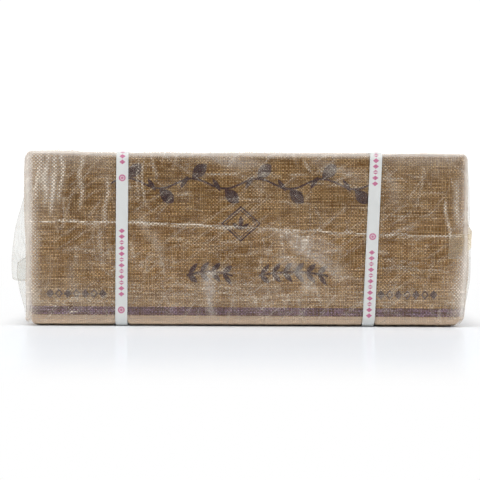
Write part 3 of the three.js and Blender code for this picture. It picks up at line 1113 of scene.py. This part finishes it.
@dataclass
class Strap:
    """One plastic strap with rounded edges, and the welded tail of its end at the back."""

    node: str
    finish: StrapFinish
    edge_round: float = 0.25 * MM
    across: int = 12
    weld_low: float = 52 * MM
    weld_high: float = 118 * MM
    crimps: int = 9
    crimp_depth: float = 0.22 * MM

    @property
    def path(self) -> StrapPath:
        """Where this strap runs."""
        return STRAPS[self.node]

    def section(self) -> tuple[Array, Array]:
        """The strap's cut across: offsets across and heights over its inner face, going round once.

        The outer face is a flat line with its ends rounded down as the edge radius times 1 - cos; the inner face is
        flat. The order makes along x across point out.

        Returns:
            Offsets from the middle, and heights.
        """
        half = self.path.width / 2.0
        offsets = half * np.sin(np.linspace(-math.pi / 2.0, math.pi / 2.0, self.across + 1))
        drop = self.edge_round * smooth(np.abs(offsets), half - 2.5 * self.edge_round, half)
        outer = np.column_stack([offsets, self.path.thickness - drop])
        inner = np.column_stack([offsets[::-1], np.zeros(self.across + 1)])
        loop = np.concatenate([outer, inner])
        return loop[:, 0], loop[:, 1]

    def ring(self) -> bpy.types.Object:
        """The closed strap: its section carried once round the pack."""
        points, out = self.path.line()
        offsets, heights = self.section()
        inner = -self.path.sink(out)
        waver = Ripples(wavelength=55 * MM, height=0.10 * MM, seed=len(self.node)).at(points)
        base = points + out * (inner + np.abs(waver))[:, None]
        grid = base[:, None, :] + out[:, None, :] * heights[None, :, None]
        grid[:, :, 0] += offsets[None, :]
        count, around = grid.shape[:2]
        number = np.arange(count * around).reshape(count, around)
        ahead = np.roll(number, -1, axis=0)
        beside = np.roll(number, -1, axis=1)
        both = np.roll(ahead, -1, axis=1)
        quads = np.stack([number, beside, both, ahead], axis=-1).reshape(-1, 4)
        steps = np.linalg.norm(np.roll(points, -1, axis=0) - points, axis=-1)
        length = np.concatenate([[0.0], np.cumsum(steps)])
        u = np.stack([length[:-1], length[:-1], length[1:], length[1:]], axis=-1)
        u = np.repeat(u[:, None, :], around, axis=1)
        after = np.roll(offsets, -1)
        v = np.repeat(np.stack([offsets, after, after, offsets], axis=-1)[None], count, axis=0)
        return make_piece(self.node + "_band", grid.reshape(-1, 3), quads, np.stack([u, v], axis=-1).reshape(-1, 2))

    def weld(self) -> bpy.types.Object:
        """The strap's tail lying over it at the back, pressed down in a row of crimps."""
        points, out = self.path.line()
        at_back = (out[:, 1] > 0.9) & (points[:, 2] > self.weld_low) & (points[:, 2] < self.weld_high)
        line, away = points[at_back], out[at_back]
        half = self.path.width / 2.0 - 0.3 * MM
        offsets = np.linspace(-half, half, self.across + 1)
        share = np.linspace(0.0, 1.0, len(line))
        pressed = np.sin(math.pi * self.crimps * smooth(share, 0.25, 0.75)) ** 2 * self.crimp_depth
        ends = smooth(np.abs(share - 0.5), 0.44, 0.5) * 0.25 * MM
        foot = self.path.proud + 0.15 * MM
        top = foot + self.path.thickness * 0.85 - pressed - ends
        rim = self.edge_round * smooth(np.abs(offsets), half - 0.8 * MM, half)
        outer = line[:, None, :] + away[:, None, :] * (top[:, None] - rim[None, :])[:, :, None]
        inner = line[:, None, :] + away[:, None, :] * np.full((len(line), len(offsets)), foot)[:, :, None]
        outer[:, :, 0] += offsets[None, :]
        inner[:, :, 0] += offsets[None, :]
        return shell(self.node + "_weld", outer, inner)

    def build(self) -> None:
        """Makes the ring and its welded tail."""
        material = self.finish.build()
        finish_piece(self.ring(), material, "strap_plastic", self.node)
        finish_piece(self.weld(), material, "strap_plastic")


# ------------------------------------------------------------------------------------------------ cloth cover


@dataclass
class ClothCover:
    """The woven cover, folded in at both ends like a parcel."""

    form: PackForm = CLOTH_FORM
    step: float = 1.8 * MM
    depth_step: float = 3.6 * MM
    corner_steps: int = 6
    fold_step: float = 0.9 * MM
    strap_bite: float = 0.55 * MM

    def grid(self) -> BoxGrid:
        """The cover's grid lines."""
        low, high = self.form.low, self.form.high
        radius = 8 * MM
        return BoxGrid(
            [
                stations(low[0], high[0], radius, self.corner_steps, self.step),
                stations(low[1], high[1], radius, self.corner_steps, self.depth_step),
                stations(low[2], high[2], radius, self.corner_steps, self.step),
            ]
        )

    def folds(self, places: Array) -> Array:
        """Steps in the cloth at the ends, where slanting flaps fold in: 1 on the upper flap, which lies uppermost."""
        y, z = places[:, 1], places[:, 2]
        half = self.form.high[1]
        slant = half - np.abs(y)
        upper = smooth(slant - 0.85 * (self.form.high[2] - z), -1.5 * MM, 1.5 * MM) * smooth(z, 58 * MM, 61 * MM)
        lower = smooth(slant - 0.85 * z, -1.5 * MM, 1.5 * MM) * smooth(-z, -96 * MM, -93 * MM)
        return upper * 1.0 + lower * 0.55 * (1.0 - upper)

    def relief(self, places: Array, out: Array) -> Array:
        """Height over the form: soft unevenness, the folded ends, and the straps' bite.

        Args:
            places: Points on the plain box.
            out: Outward directions there.

        Returns:
            Heights, one a row.
        """
        lumps = Ripples(wavelength=42 * MM, height=0.28 * MM, seed=4).at(places)
        puckers = Ripples(wavelength=13 * MM, height=0.10 * MM, seed=9).at(places)
        at_end = np.abs(out[:, 0])
        flat_ends = -self.fold_step + self.fold_step * self.folds(places)
        level = lumps + puckers + at_end * flat_ends - 0.2 * MM
        for strap in STRAPS.values():
            floor = -(strap.sink(out) + self.strap_bite)
            share = strap.under(places)
            level = level * (1.0 - share) + np.minimum(floor, level) * share
        resting = smooth(-out[:, 2], 0.6, 0.95)
        return level * (1.0 - resting) + np.minimum(level, -0.15 * MM) * resting

    def build(self) -> None:
        """Makes the cover."""
        piece = wrap_mesh("woven_cover", self.form, self.relief, self.grid())
        finish_piece(piece, ClothFinish().build(), "woven_cloth", "wrapped_bale")


# ------------------------------------------------------------------------------------------------ film


@dataclass(frozen=True)
class Crease:
    """A ridge in the film along a straight line on one side, in that side's own two axes."""

    start: tuple[float, float]
    end: tuple[float, float]
    height: float = 0.8 * MM
    width: float = 1.6 * MM
    milk: float = 0.6

    def at(self, flat: Array) -> Array:
        """Ridge strength at each place: exp(-(d / width)^2), where d is the distance to the line, fading to its ends.

        Args:
            flat: Two coordinates a row.

        Returns:
            Strength from 0 to 1.
        """
        start, end = np.array(self.start), np.array(self.end)
        way = end - start
        t = np.clip((flat - start) @ way / (way @ way), 0.0, 1.0)
        away = np.linalg.norm(flat - start - t[:, None] * way, axis=-1)
        fade = 0.35 + 0.65 * np.sqrt(np.clip(4.0 * t * (1.0 - t), 0.0, 1.0))
        return np.exp(-((away / self.width) ** 2)) * fade


def front_creases() -> list[Crease]:
    """The creases that the film shows on the printed front: a long level seam, a fan at the top left, and a few more."""
    seam_x = (-204, -126, -65, -9, 52, 118, 214)
    seam_z = (104.5, 104.3, 101.3, 98.2, 95.6, 93.4, 91.0)
    seam_milk = (0.66, 0.84, 0.80, 0.66, 0.58, 0.58)
    seam = [
        Crease((x0 * MM, z0 * MM), (x1 * MM, z1 * MM), 0.9 * MM, 1.1 * MM, milk)
        for x0, z0, x1, z1, milk in zip(seam_x, seam_z, seam_x[1:], seam_z[1:], seam_milk)
    ]
    fan = [
        Crease(((k * 7 - 208) * MM, 172 * MM), ((k * 8.5 - 214) * MM, (128 - 7 * (k % 3)) * MM), 1.0 * MM, 2.2 * MM, 0.64)
        for k in range(4)
    ]
    broad = [
        Crease((-213 * MM, 172 * MM), (-205 * MM, 134 * MM), 0.2 * MM, 7.0 * MM, 0.40),
        Crease((-215 * MM, 128 * MM), (-214 * MM, 12 * MM), 0.2 * MM, 4.5 * MM, 0.34),
        Crease((214 * MM, 74 * MM), (209 * MM, 8 * MM), 0.2 * MM, 7.0 * MM, 0.40),
    ]
    level = [
        Crease((x0 * MM, z0 * MM), (x1 * MM, z1 * MM), 0.5 * MM, 0.8 * MM, milk)
        for x0, z0, x1, z1, milk in (
            (-56, 153, 32, 150, 0.42), (58, 144, 117, 141, 0.36), (-32, 129, 62, 124, 0.30),
            (128, 61, 206, 56, 0.38), (-102, 81, -22, 76, 0.30), (132, 113, 190, 110, 0.34),
        )
    ]
    slanting = [
        Crease((x0 * MM, z0 * MM), (x1 * MM, z1 * MM), 0.5 * MM, 0.9 * MM, milk)
        for x0, z0, x1, z1, milk in (
            (24, 97, 60, 88, 0.40), (40, 84, 86, 66, 0.36), (58, 74, 98, 46, 0.36), (26, 72, 62, 40, 0.3), (70, 86, 104, 76, 0.3),
        )
    ]
    upright = [
        Crease((-167 * MM, 172 * MM), (-168 * MM, 118 * MM), 0.9 * MM, 2.2 * MM, 0.55),
        Crease((-141 * MM, 150 * MM), (-144 * MM, 100 * MM), 0.9 * MM, 2.2 * MM, 0.5),
        Crease((-150 * MM, 100 * MM), (-147 * MM, 62 * MM), 0.7 * MM, 2.4 * MM, 0.35),
        Crease((-112 * MM, 168 * MM), (-111 * MM, 128 * MM), 0.8 * MM, 1.2 * MM, 0.5),
        Crease((-107 * MM, 170 * MM), (-104 * MM, 122 * MM), 0.8 * MM, 1.2 * MM, 0.6),
        Crease((-99 * MM, 172 * MM), (-92 * MM, 150 * MM), 0.7 * MM, 1.4 * MM, 0.4),
        Crease((54 * MM, 168 * MM), (62 * MM, 156 * MM), 0.7 * MM, 1.2 * MM, 0.5),
        Crease((195 * MM, 127 * MM), (198.5 * MM, 110 * MM), 1.0 * MM, 1.1 * MM, 0.95),
        Crease((198.5 * MM, 110 * MM), (201 * MM, 87 * MM), 1.0 * MM, 1.1 * MM, 0.85),
        Crease((207 * MM, 146 * MM), (209 * MM, 100 * MM), 0.6 * MM, 3.2 * MM, 0.50),
    ]
    wrinkles = level_wrinkles(26, 24, (-112 * MM, 24 * MM), (10 * MM, 92 * MM))
    wrinkles += level_wrinkles(27, 14, (20 * MM, 24 * MM), (180 * MM, 165 * MM))
    return seam + fan + broad + upright + level + slanting + wrinkles


def front_veils() -> list[Crease]:
    """Broad soft streaks where the film on the front is a little milky, most of them fanning out below the middle."""
    lines = (
        (30, 93, 88, 74, 7.5, 0.17), (38, 88, 98, 50, 8.0, 0.19), (30, 78, 68, 36, 6.5, 0.17), (-60, 175, 14, 161, 7.0, 0.20),
        (-42, 62, -36, 8, 5.0, 0.22), (-110, 114, -84, 66, 5.0, 0.12), (-180, 62, -168, 14, 5.0, 0.10),
        (-206, 172, -196, 120, 9.0, 0.16), (60, 168, 110, 150, 6.0, 0.12), (134, 168, 150, 120, 6.0, 0.10),
    )
    return [
        Crease((x0 * MM, z0 * MM), (x1 * MM, z1 * MM), 0.0, width * MM, milk) for x0, z0, x1, z1, width, milk in lines
    ]


def level_wrinkles(seed: int, count: int, low: tuple[float, float], high: tuple[float, float]) -> list[Crease]:
    """Short wrinkles that run nearly level, spread at random over a part of the front.

    Args:
        seed: Seed of the draw.
        count: How many.
        low: The part's lower left corner.
        high: Its upper right corner.

    Returns:
        The wrinkles.
    """
    rng = np.random.default_rng(seed)
    made = []
    for start in rng.uniform(low, high, (count, 2)):
        length, slope = rng.uniform(16 * MM, 46 * MM), rng.normal(-0.06, 0.13)
        end = start + length * np.array([1.0, slope])
        height, width, milk = rng.uniform(0.3, 0.6) * MM, rng.uniform(0.6, 1.1) * MM, rng.uniform(0.20, 0.42)
        made.append(Crease(tuple(start), tuple(end), height, width, milk))
    return made


def random_creases(seed: int, count: int, half: tuple[float, float], centre: tuple[float, float]) -> list[Crease]:
    """Creases spread over a side at random, most of them running in from its rim.

    Args:
        seed: Seed of the draw.
        count: How many.
        half: Half the side's two sizes.
        centre: The side's middle.

    Returns:
        The creases.
    """
    rng = np.random.default_rng(seed)
    made = []
    for _ in range(count):
        rim = rng.uniform(-1.0, 1.0, 2)
        axis = int(rng.integers(2))
        rim[axis] = math.copysign(rng.uniform(0.75, 0.97), rim[axis])
        start = np.array(centre) + rim * np.array(half)
        way = np.array(centre) - start
        way = way / np.linalg.norm(way) + rng.normal(0.0, 0.5, 2)
        end = start + way / np.linalg.norm(way) * rng.uniform(14 * MM, 55 * MM)
        height, width, milk = rng.uniform(0.35, 0.9) * MM, rng.uniform(1.1, 2.4) * MM, rng.uniform(0.15, 0.5)
        made.append(Crease(tuple(start), tuple(end), height, width, milk))
    return made


@dataclass
class FilmWrap:
    """The clear film round the whole pack, loose enough to crinkle."""

    form: PackForm = FILM_FORM
    step: float = 1.8 * MM
    depth_step: float = 3.6 * MM
    corner_steps: int = 6
    strap_bite: float = 0.2 * MM
    right_slack: float = 2.0 * MM
    left_slack: float = 1.8 * MM
    top_slack: float = 2.2 * MM
    crumple: Facets = Facets(wavelength=34 * MM, height=0.75 * MM, seed=31)
    wavers: tuple[Ripples, Ripples] = (Ripples(28 * MM, 1.3 * MM, 71), Ripples(28 * MM, 1.3 * MM, 72))

    def grid(self) -> BoxGrid:
        """The film's grid lines."""
        low, high = self.form.low, self.form.high
        radius = 9 * MM
        return BoxGrid(
            [
                stations(low[0], high[0], radius, self.corner_steps, self.step),
                stations(low[1], high[1], radius, self.corner_steps, self.depth_step),
                stations(low[2], high[2], radius, self.corner_steps, self.step),
            ]
        )

    def side_creases(self) -> list[tuple[Side, list[Crease]]]:
        """Every side's creases."""
        x_half, y_half, z_half = CLOTH_LENGTH / 2, CLOTH_DEPTH / 2, CLOTH_HEIGHT / 2
        return [
            (Side.FRONT, front_creases() + random_creases(21, 6, (x_half, z_half), (0.0, z_half))),
            (Side.BACK, random_creases(22, 34, (x_half, z_half), (0.0, z_half))),
            (Side.TOP, random_creases(23, 34, (x_half, y_half), (0.0, 0.0))),
            (Side.LEFT, random_creases(24, 22, (y_half, z_half), (0.0, z_half))),
            (Side.RIGHT, random_creases(25, 22, (y_half, z_half), (0.0, z_half))),
        ]

    def veiled(self, places: Array, out: Array) -> Array:
        """Even milkiness where the film bends or is doubled, and in broad streaks on the front; along the edges and on
        the top it is partly painted highlight and painted reflection.

        It falls as exp(-d / reach) from every edge but the lowest ones, as a painted reflection of the bright surround;
        it grows with the turn upward, as a painted highlight from above; and it reaches further down at the upper ends
        of the front and back, painted light there too.

        Args:
            places: Points on the plain box.
            out: Outward directions there.

        Returns:
            Milkiness from 0 to 1.
        """
        inward = np.minimum(places - np.array(self.form.low), np.array(self.form.high) - places)
        to_upright = np.maximum(inward[:, 0], inward[:, 1])
        to_end_top = np.maximum(inward[:, 0], self.form.high[2] - places[:, 2])
        # Painted reflection and highlight: milky near the upright edges and the top, and whiter the more the film faces
        # up.
        upright = 0.42 * np.exp(-np.maximum(to_upright - 1.5 * MM, 0.0) / (5.5 * MM))
        end_top = 0.22 * np.exp(-np.maximum(to_end_top - 1.5 * MM, 0.0) / (5.0 * MM))
        up = np.clip(out[:, 2], 0.0, 1.0)
        rim = (0.50 * up**1.2 + 0.25 * up**6) * smooth(1.0 - up, 0.0, 0.04)
        down = self.form.high[2] - places[:, 2]
        brow = 0.34 * np.exp(-down / (9 * MM)) * smooth(np.abs(places[:, 0]), 115 * MM, 150 * MM) * (1.0 - up**2)
        edges = np.max([upright, end_top, rim, brow], axis=0) * (1.0 - smooth(-out[:, 2], 0.0, 0.3))
        flat = places[:, [0, 2]]
        flat = flat + np.stack([waver.at(flat) for waver in self.wavers], axis=-1)
        streaks = np.max([streak.at(flat) * streak.milk for streak in front_veils()], axis=0)
        return np.maximum(edges, streaks * smooth(-out[:, 1], 0.3, 0.8))

    def creased(self, places: Array, out: Array) -> tuple[Array, Array]:
        """Sums the creases of every side.

        Args:
            places: Points on the plain box.
            out: Outward directions there.

        Returns:
            Ridge heights, and how milky the folds are, from 0 to 1.
        """
        height = np.zeros(len(places))
        milk = np.zeros(len(places))
        for side, creases in self.side_creases():
            fixed, end, first, second = side.value
            flat = places[:, sorted((first, second))]
            flat = flat + np.stack([waver.at(flat) for waver in self.wavers], axis=-1)
            facing = smooth(out[:, fixed] * (1.0 if end else -1.0), 0.3, 0.8)
            for crease in creases:
                share = crease.at(flat) * facing
                height = np.maximum(height, share * crease.height)
                milk = np.maximum(milk, share * crease.milk)
        folds = self.crumple.folds(places, 1.1 * MM)
        return height, np.maximum(milk, 0.22 * folds)

    def relief(self, places: Array, out: Array) -> Array:
        """Height over the form: creases and soft slack, pulled down under the straps and at the base."""
        ridges, _ = self.creased(places, out)
        slack = self.crumple.at(places)
        at_right = smooth(out[:, 0], 0.3, 0.9) * hump((places[:, 2] - 50 * MM) / (60 * MM)) * self.right_slack
        at_left = smooth(-out[:, 0], 0.3, 0.9) * smooth(places[:, 2], 70 * MM, 120 * MM) * self.left_slack
        at_top = smooth(out[:, 2], 0.2, 0.8) * smooth(-places[:, 0], 150 * MM, 200 * MM) * self.top_slack
        level = 0.1 * MM + np.abs(slack) + ridges + at_right + np.maximum(at_left, at_top)
        for strap in STRAPS.values():
            floor = -(strap.sink(out) + self.strap_bite)
            share = strap.under(places)
            level = level * (1.0 - share) + floor * share
        resting = smooth(-out[:, 2], 0.6, 0.95)
        return level * (1.0 - resting) + np.minimum(level, 0.0) * resting

    def build(self, material: bpy.types.Material) -> None:
        """Makes the film."""
        grid = self.grid()
        piece = wrap_mesh("film_wrap", self.form, self.relief, grid)
        _, out = self.form.place(grid.places)
        _, milk = self.creased(grid.places, out)
        add_value(piece, "crease", milk)
        add_value(piece, "veil", self.veiled(grid.places, out))
        finish_piece(piece, material, "clear_film")


@dataclass
class FilmFlap:
    """A flap of film folded onto an end: two skins with air between them, narrowing to its free edge."""

    name: str
    end: int
    root: float
    tip: float
    root_half: float
    tip_half: float
    lift: Callable[[Array, Array], Array]
    middle_y: float = 0.0
    air: float = 0.5
    down: int = 60
    across: int = 90
    seed: int = 50
    crumple: float = 0.5 * MM
    sag: float = 5 * MM

    def skins(self) -> tuple[Array, Array, Array]:
        """The outer and inner skins and how milky each place is.

        A place is (s, t), s from the root to the free edge and t across from -1 to 1. It lies off the end by lift(s, t)
        and the inner skin by less, and both wrinkle along the way down.

        Returns:
            Outer points, inner points, and milkiness.
        """
        s, t = np.meshgrid(np.linspace(0.0, 1.0, self.down), np.linspace(-1.0, 1.0, self.across), indexing="ij")
        half = self.root_half + (self.tip_half - self.root_half) * s
        y = self.middle_y + t * half
        z = self.root + (self.tip - self.root) * s
        face_x = FILM_FORM.low[0] if self.end < 0 else FILM_FORM.high[0]
        places = np.stack([np.full(s.size, face_x), y.ravel(), z.ravel()], axis=-1)
        face = FILM_FORM.place(places)[0][:, 0].reshape(s.shape)
        z = z + self.sag * (1.0 - t * t) * smooth(s, 0.5, 1.0) * math.copysign(1.0, self.tip - self.root)
        flat = np.stack([y.ravel() * 1.6, z.ravel() * 0.7], axis=-1)
        crumple = Facets(wavelength=30 * MM, height=2.6, seed=self.seed, waves=7)
        wrinkle = crumple.at(flat).reshape(s.shape)
        folds = crumple.folds(flat, 1.1 * MM).reshape(s.shape)
        grown = smooth(s, 0.0, 0.25)
        lift = self.lift(s, t) + self.crumple * wrinkle * grown + 0.35 * MM
        gap = np.minimum(lift - 0.15 * MM, 0.3 * MM + self.air * lift * np.sqrt(hump(t)) * hump(1.25 * s - 0.25) ** 0.5)
        outer = np.stack([face + self.end * lift, y, z], axis=-1)
        inner = np.stack([face + self.end * np.maximum(lift - gap, 0.12 * MM), y, z], axis=-1)
        rim = np.maximum(smooth(np.abs(t), 0.975, 1.0), smooth(s, 0.97, 1.0))
        return outer, inner, 0.25 * rim + 0.10 * folds * grown

    def build(self, material: bpy.types.Material) -> None:
        """Makes the flap."""
        outer, inner, veil = self.skins()
        if (self.end > 0) == (self.tip < self.root):
            outer, inner, veil = outer[:, ::-1], inner[:, ::-1], veil[:, ::-1]
        piece = shell(self.name, outer, inner)
        add_value(piece, "veil", np.concatenate([veil.ravel(), veil.ravel()]))
        finish_piece(piece, material, "clear_film")


def end_flaps() -> list[FilmFlap]:
    """The four flaps, loose and puffed at the left end and nearly flat at the right."""
    def slack(t: Array) -> Array:
        return 1.0 - 0.5 * smooth(t, -0.8, 1.0)

    def flat(t: Array) -> Array:
        return 1.0 - 0.4 * smooth(t, 0.0, 1.0)

    return [
        FilmFlap(
            "film_flap_left_upper", -1, 140 * MM, 46 * MM, 98 * MM, 84 * MM,
            lambda s, t: 15.8 * MM * np.sin(0.62 * math.pi * s) ** 1.25 * slack(t),
            air=0.45, seed=51, crumple=0.35 * MM,
        ),
        FilmFlap(
            "film_flap_left_lower", -1, 7 * MM, 62 * MM, 99 * MM, 70 * MM,
            lambda s, t: 11.6 * MM * np.minimum(1.0, 1.3 * s) * slack(t),
            air=0.35, seed=52, crumple=0.35 * MM,
        ),
        FilmFlap(
            "film_flap_right_upper", 1, 166 * MM, 101 * MM, 98 * MM, 76 * MM,
            lambda s, t: 4.4 * MM * np.sin(0.5 * math.pi * s) * flat(t),
            air=0.3, seed=53, crumple=0.3 * MM,
        ),
        FilmFlap(
            "film_flap_right_lower", 1, 10 * MM, 83 * MM, 100 * MM, 88 * MM,
            lambda s, t: 4.6 * MM * np.minimum(1.0, 2.0 * s) * flat(t),
            air=0.3, seed=54, crumple=0.3 * MM,
        ),
    ]


@dataclass
class FilmTape:
    """A strip of clear yellowish tape that runs from the front round the right corner and holds the flaps."""

    start_x: float = 200 * MM
    reach: float = 84 * MM
    height: float = 24 * MM
    end_height: float = 15 * MM
    start_z: float = 81 * MM
    climb: float = 0.22
    thickness: float = 0.15 * MM
    lift: float = 0.5 * MM
    end_lift: float = 5.0 * MM

    def build(self, material: bpy.types.Material) -> None:
        """Makes the tape: a strip of even height whose middle climbs steadily with the way along it."""
        way = np.linspace(0.0, self.reach, 90)
        corner = FILM_FORM.high[0] - self.start_x
        x = self.start_x + np.minimum(way, corner)
        y = FILM_FORM.low[1] + np.maximum(way - corner, 0.0)
        across = np.linspace(-0.5, 0.5, 18)
        height = self.height - (self.height - self.end_height) * smooth(way, corner - 6 * MM, corner + 12 * MM)
        z = self.start_z + (self.climb * way * smooth(way, 0.0, 40 * MM))[:, None] + height[:, None] * across[None, :]
        places = np.stack(
            [np.repeat(x[:, None], 18, axis=1), np.repeat(y[:, None], 18, axis=1), z], axis=-1
        ).reshape(-1, 3)
        base, out = FILM_FORM.place(places)
        past = smooth(way, corner + 2 * MM, corner + 16 * MM)
        wave = Facets(wavelength=16 * MM, height=0.9 * MM, seed=61).at(places) * np.repeat(0.15 + past, 18)
        off = np.repeat((self.lift + self.end_lift * past)[:, None], 18, axis=1).ravel() + wave
        outer = (base + out * (off + self.thickness)[:, None]).reshape(90, 18, 3)
        inner = (base + out * off[:, None]).reshape(90, 18, 3)
        piece = shell("film_tape", outer, inner)
        rim = np.repeat(smooth(np.abs(across), 0.44, 0.5)[None, :], 90, axis=0).ravel()
        add_value(piece, "veil", np.concatenate([rim, rim]) * 0.2)
        finish_piece(piece, material, "clear_tape")


# ------------------------------------------------------------------------------------------------ stage


@dataclass
class Studio:
    """A pale table, soft lights and the camera at the photo's angle."""

    camera_distance: float = 1.5
    camera_height: float = 0.105
    lens: float = 112.5
    aim: tuple[float, float, float] = (-8.75 * MM, -CLOTH_DEPTH / 2, 86.75 * MM)
    roll: float = math.radians(0.24)
    floor_half: float = 3.0
    ambient: float = 0.28
    room: float = 0.30
    wall: float = 1.0
    lights: tuple = field(
        default_factory=lambda: (
            ("key_top", (0.0, -0.35, 1.4), (0.0, -0.1, 0.05), (1.5, 1.0), 11.3),
            ("side_left", (-1.2, -0.65, 0.6), (0.0, 0.0, 0.09), (0.5, 0.8), 6.3),
            ("side_right", (1.2, -0.65, 0.6), (0.0, 0.0, 0.09), (0.5, 0.8), 6.0),
            ("back_fill", (0.0, 1.3, 0.75), (0.0, 0.0, 0.09), (1.2, 0.7), 7.0),
        )
    )

    def camera(self) -> None:
        """Makes the camera: it stands straight in front and looks at the middle of the photo's frame."""
        data = bpy.data.cameras.new("camera")
        data.lens = self.lens
        data.sensor_width = 36.0
        data.clip_start = 0.05
        data.clip_end = 60.0
        camera = bpy.data.objects.new("camera", data)
        aim = Vector(self.aim)
        camera.location = (aim.x, aim.y - self.camera_distance, self.camera_height)
        way = aim - camera.location
        turn = way.to_track_quat("-Z", "Y")
        camera.rotation_mode = "QUATERNION"
        camera.rotation_quaternion = Quaternion(way.normalized(), -self.roll) @ turn
        bpy.context.scene.collection.objects.link(camera)
        bpy.context.scene.camera = camera

    def add_lights(self) -> None:
        """Makes the soft area lights."""
        for name, place, target, size, power in self.lights:
            data = bpy.data.lights.new(name, "AREA")
            data.shape = "RECTANGLE"
            data.size, data.size_y = size
            data.energy = power
            light = bpy.data.objects.new(name, data)
            light.location = place
            light.rotation_euler = (Vector(target) - Vector(place)).to_track_quat("-Z", "Y").to_euler()
            bpy.context.scene.collection.objects.link(light)

    def world(self) -> None:
        """A white wall behind, which shows itself and mirrors, and a dimmer room on the camera's side."""
        world = bpy.data.worlds.new("studio")
        bpy.context.scene.world = world
        world.use_nodes = True
        nodes, links = world.node_tree.nodes, world.node_tree.links
        nodes.clear()
        out = nodes.new("ShaderNodeOutputWorld")
        surround = nodes.new("ShaderNodeBackground")
        surround.inputs["Color"].default_value = (1.0, 1.0, 1.0, 1.0)
        place = nodes.new("ShaderNodeTexCoord")
        parts = nodes.new("ShaderNodeSeparateXYZ")
        wall = nodes.new("ShaderNodeMapRange")
        path = nodes.new("ShaderNodeLightPath")
        soft = nodes.new("ShaderNodeMix")
        shown = nodes.new("ShaderNodeMix")
        for socket, value in (("From Min", -0.25), ("From Max", 0.25), ("To Min", self.room), ("To Max", self.wall)):
            wall.inputs[socket].default_value = value
        links.new(place.outputs["Generated"], parts.inputs[0])
        links.new(parts.outputs["Y"], wall.inputs["Value"])
        links.new(path.outputs["Is Diffuse Ray"], soft.inputs[0])
        links.new(wall.outputs["Result"], soft.inputs[2])
        soft.inputs[3].default_value = self.ambient
        links.new(path.outputs["Is Camera Ray"], shown.inputs[0])
        links.new(soft.outputs[0], shown.inputs[2])
        shown.inputs[3].default_value = 1.05
        links.new(shown.outputs[0], surround.inputs["Strength"])
        links.new(surround.outputs[0], out.inputs["Surface"])

    def table(self) -> None:
        """A white table top that mirrors a little and runs out into the white surround, glowing white far off and just
        beside the pack: painted light that washes out the pack's shadow there.
        """
        half = self.floor_half
        points = np.array([[-half, -half, 0.0], [half, -half, 0.0], [half, half, 0.0], [-half, half, 0.0]])
        table = make_piece("table", points, np.array([[0, 1, 2, 3]]))
        tree = ShaderTree("white_table")
        x, y, _ = tree.parts(tree.object_place())
        # Painted light: the table glows white far off and just beside the pack, which washes out the pack's shadow
        # there.
        glow_share = ((x * x + y * y) ** 0.5).rise(0.45, 0.95).most(y.rise(-0.40, -0.66))
        glow_share = glow_share.most(abs(x).rise(0.218, 0.264) * 0.9)
        top = tree.principled(Base_Color=(0.93, 0.96, 1.0), Roughness=0.5, Specular=0.0)
        mirror = tree.node("ShaderNodeBsdfGlossy", {}, {"Color": (1.0, 1.0, 1.0), "Roughness": 0.08}).outputs[0]
        glow = tree.node("ShaderNodeEmission", {}, {"Color": (1.0, 1.0, 1.0), "Strength": 1.0}).outputs[0]
        near = tree.mixed_surface(0.15, top, mirror)
        table.data.materials.append(tree.done(tree.mixed_surface(glow_share, near, glow)))

    def build(self) -> None:
        """Makes the whole stage."""
        scene = bpy.context.scene
        scene.view_settings.view_transform = "Standard"
        scene.view_settings.look = "None"
        scene.cycles.transparent_max_bounces = 32
        self.camera()
        self.add_lights()
        self.world()
        self.table()


# ------------------------------------------------------------------------------------------------ all together


def main() -> None:
    """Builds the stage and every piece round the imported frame."""
    logging.basicConfig(level=logging.INFO, format="%(name)s: %(message)s")
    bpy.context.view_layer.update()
    Studio().build()
    ClothCover().build()
    film = FilmFinish("clear_film").build()
    FilmWrap().build(film)
    loose = FilmFinish(
        "loose_film", haze=0.03, vein_haze=0.05, low_bounce_light=0.0, cling=0.0, tint=(0.980, 0.988, 0.984),
        milk=(0.95, 0.96, 0.95), glint=(0.95, 0.96, 0.95), roughness=0.28, most_gloss=0.06, crinkle=0.15 * MM,
    ).build()
    for flap in end_flaps():
        flap.build(loose)
    tape = FilmFinish(
        "clear_tape", haze=0.10, cling=0.0, tint=(0.97, 0.94, 0.87), milk=(0.84, 0.76, 0.62), glint=(0.84, 0.76, 0.62), most_gloss=0.2
    ).build()
    FilmTape().build(tape)
    left = StrapFinish("strap_left_plastic", phase=14.5 * MM, direction=1.0)
    right = StrapFinish("strap_right_plastic", phase=88.5 * MM, direction=-1.0)
    Strap("strap_left", left).build()
    Strap("strap_right", right).build()


if __name__ == "__main__":
    main()
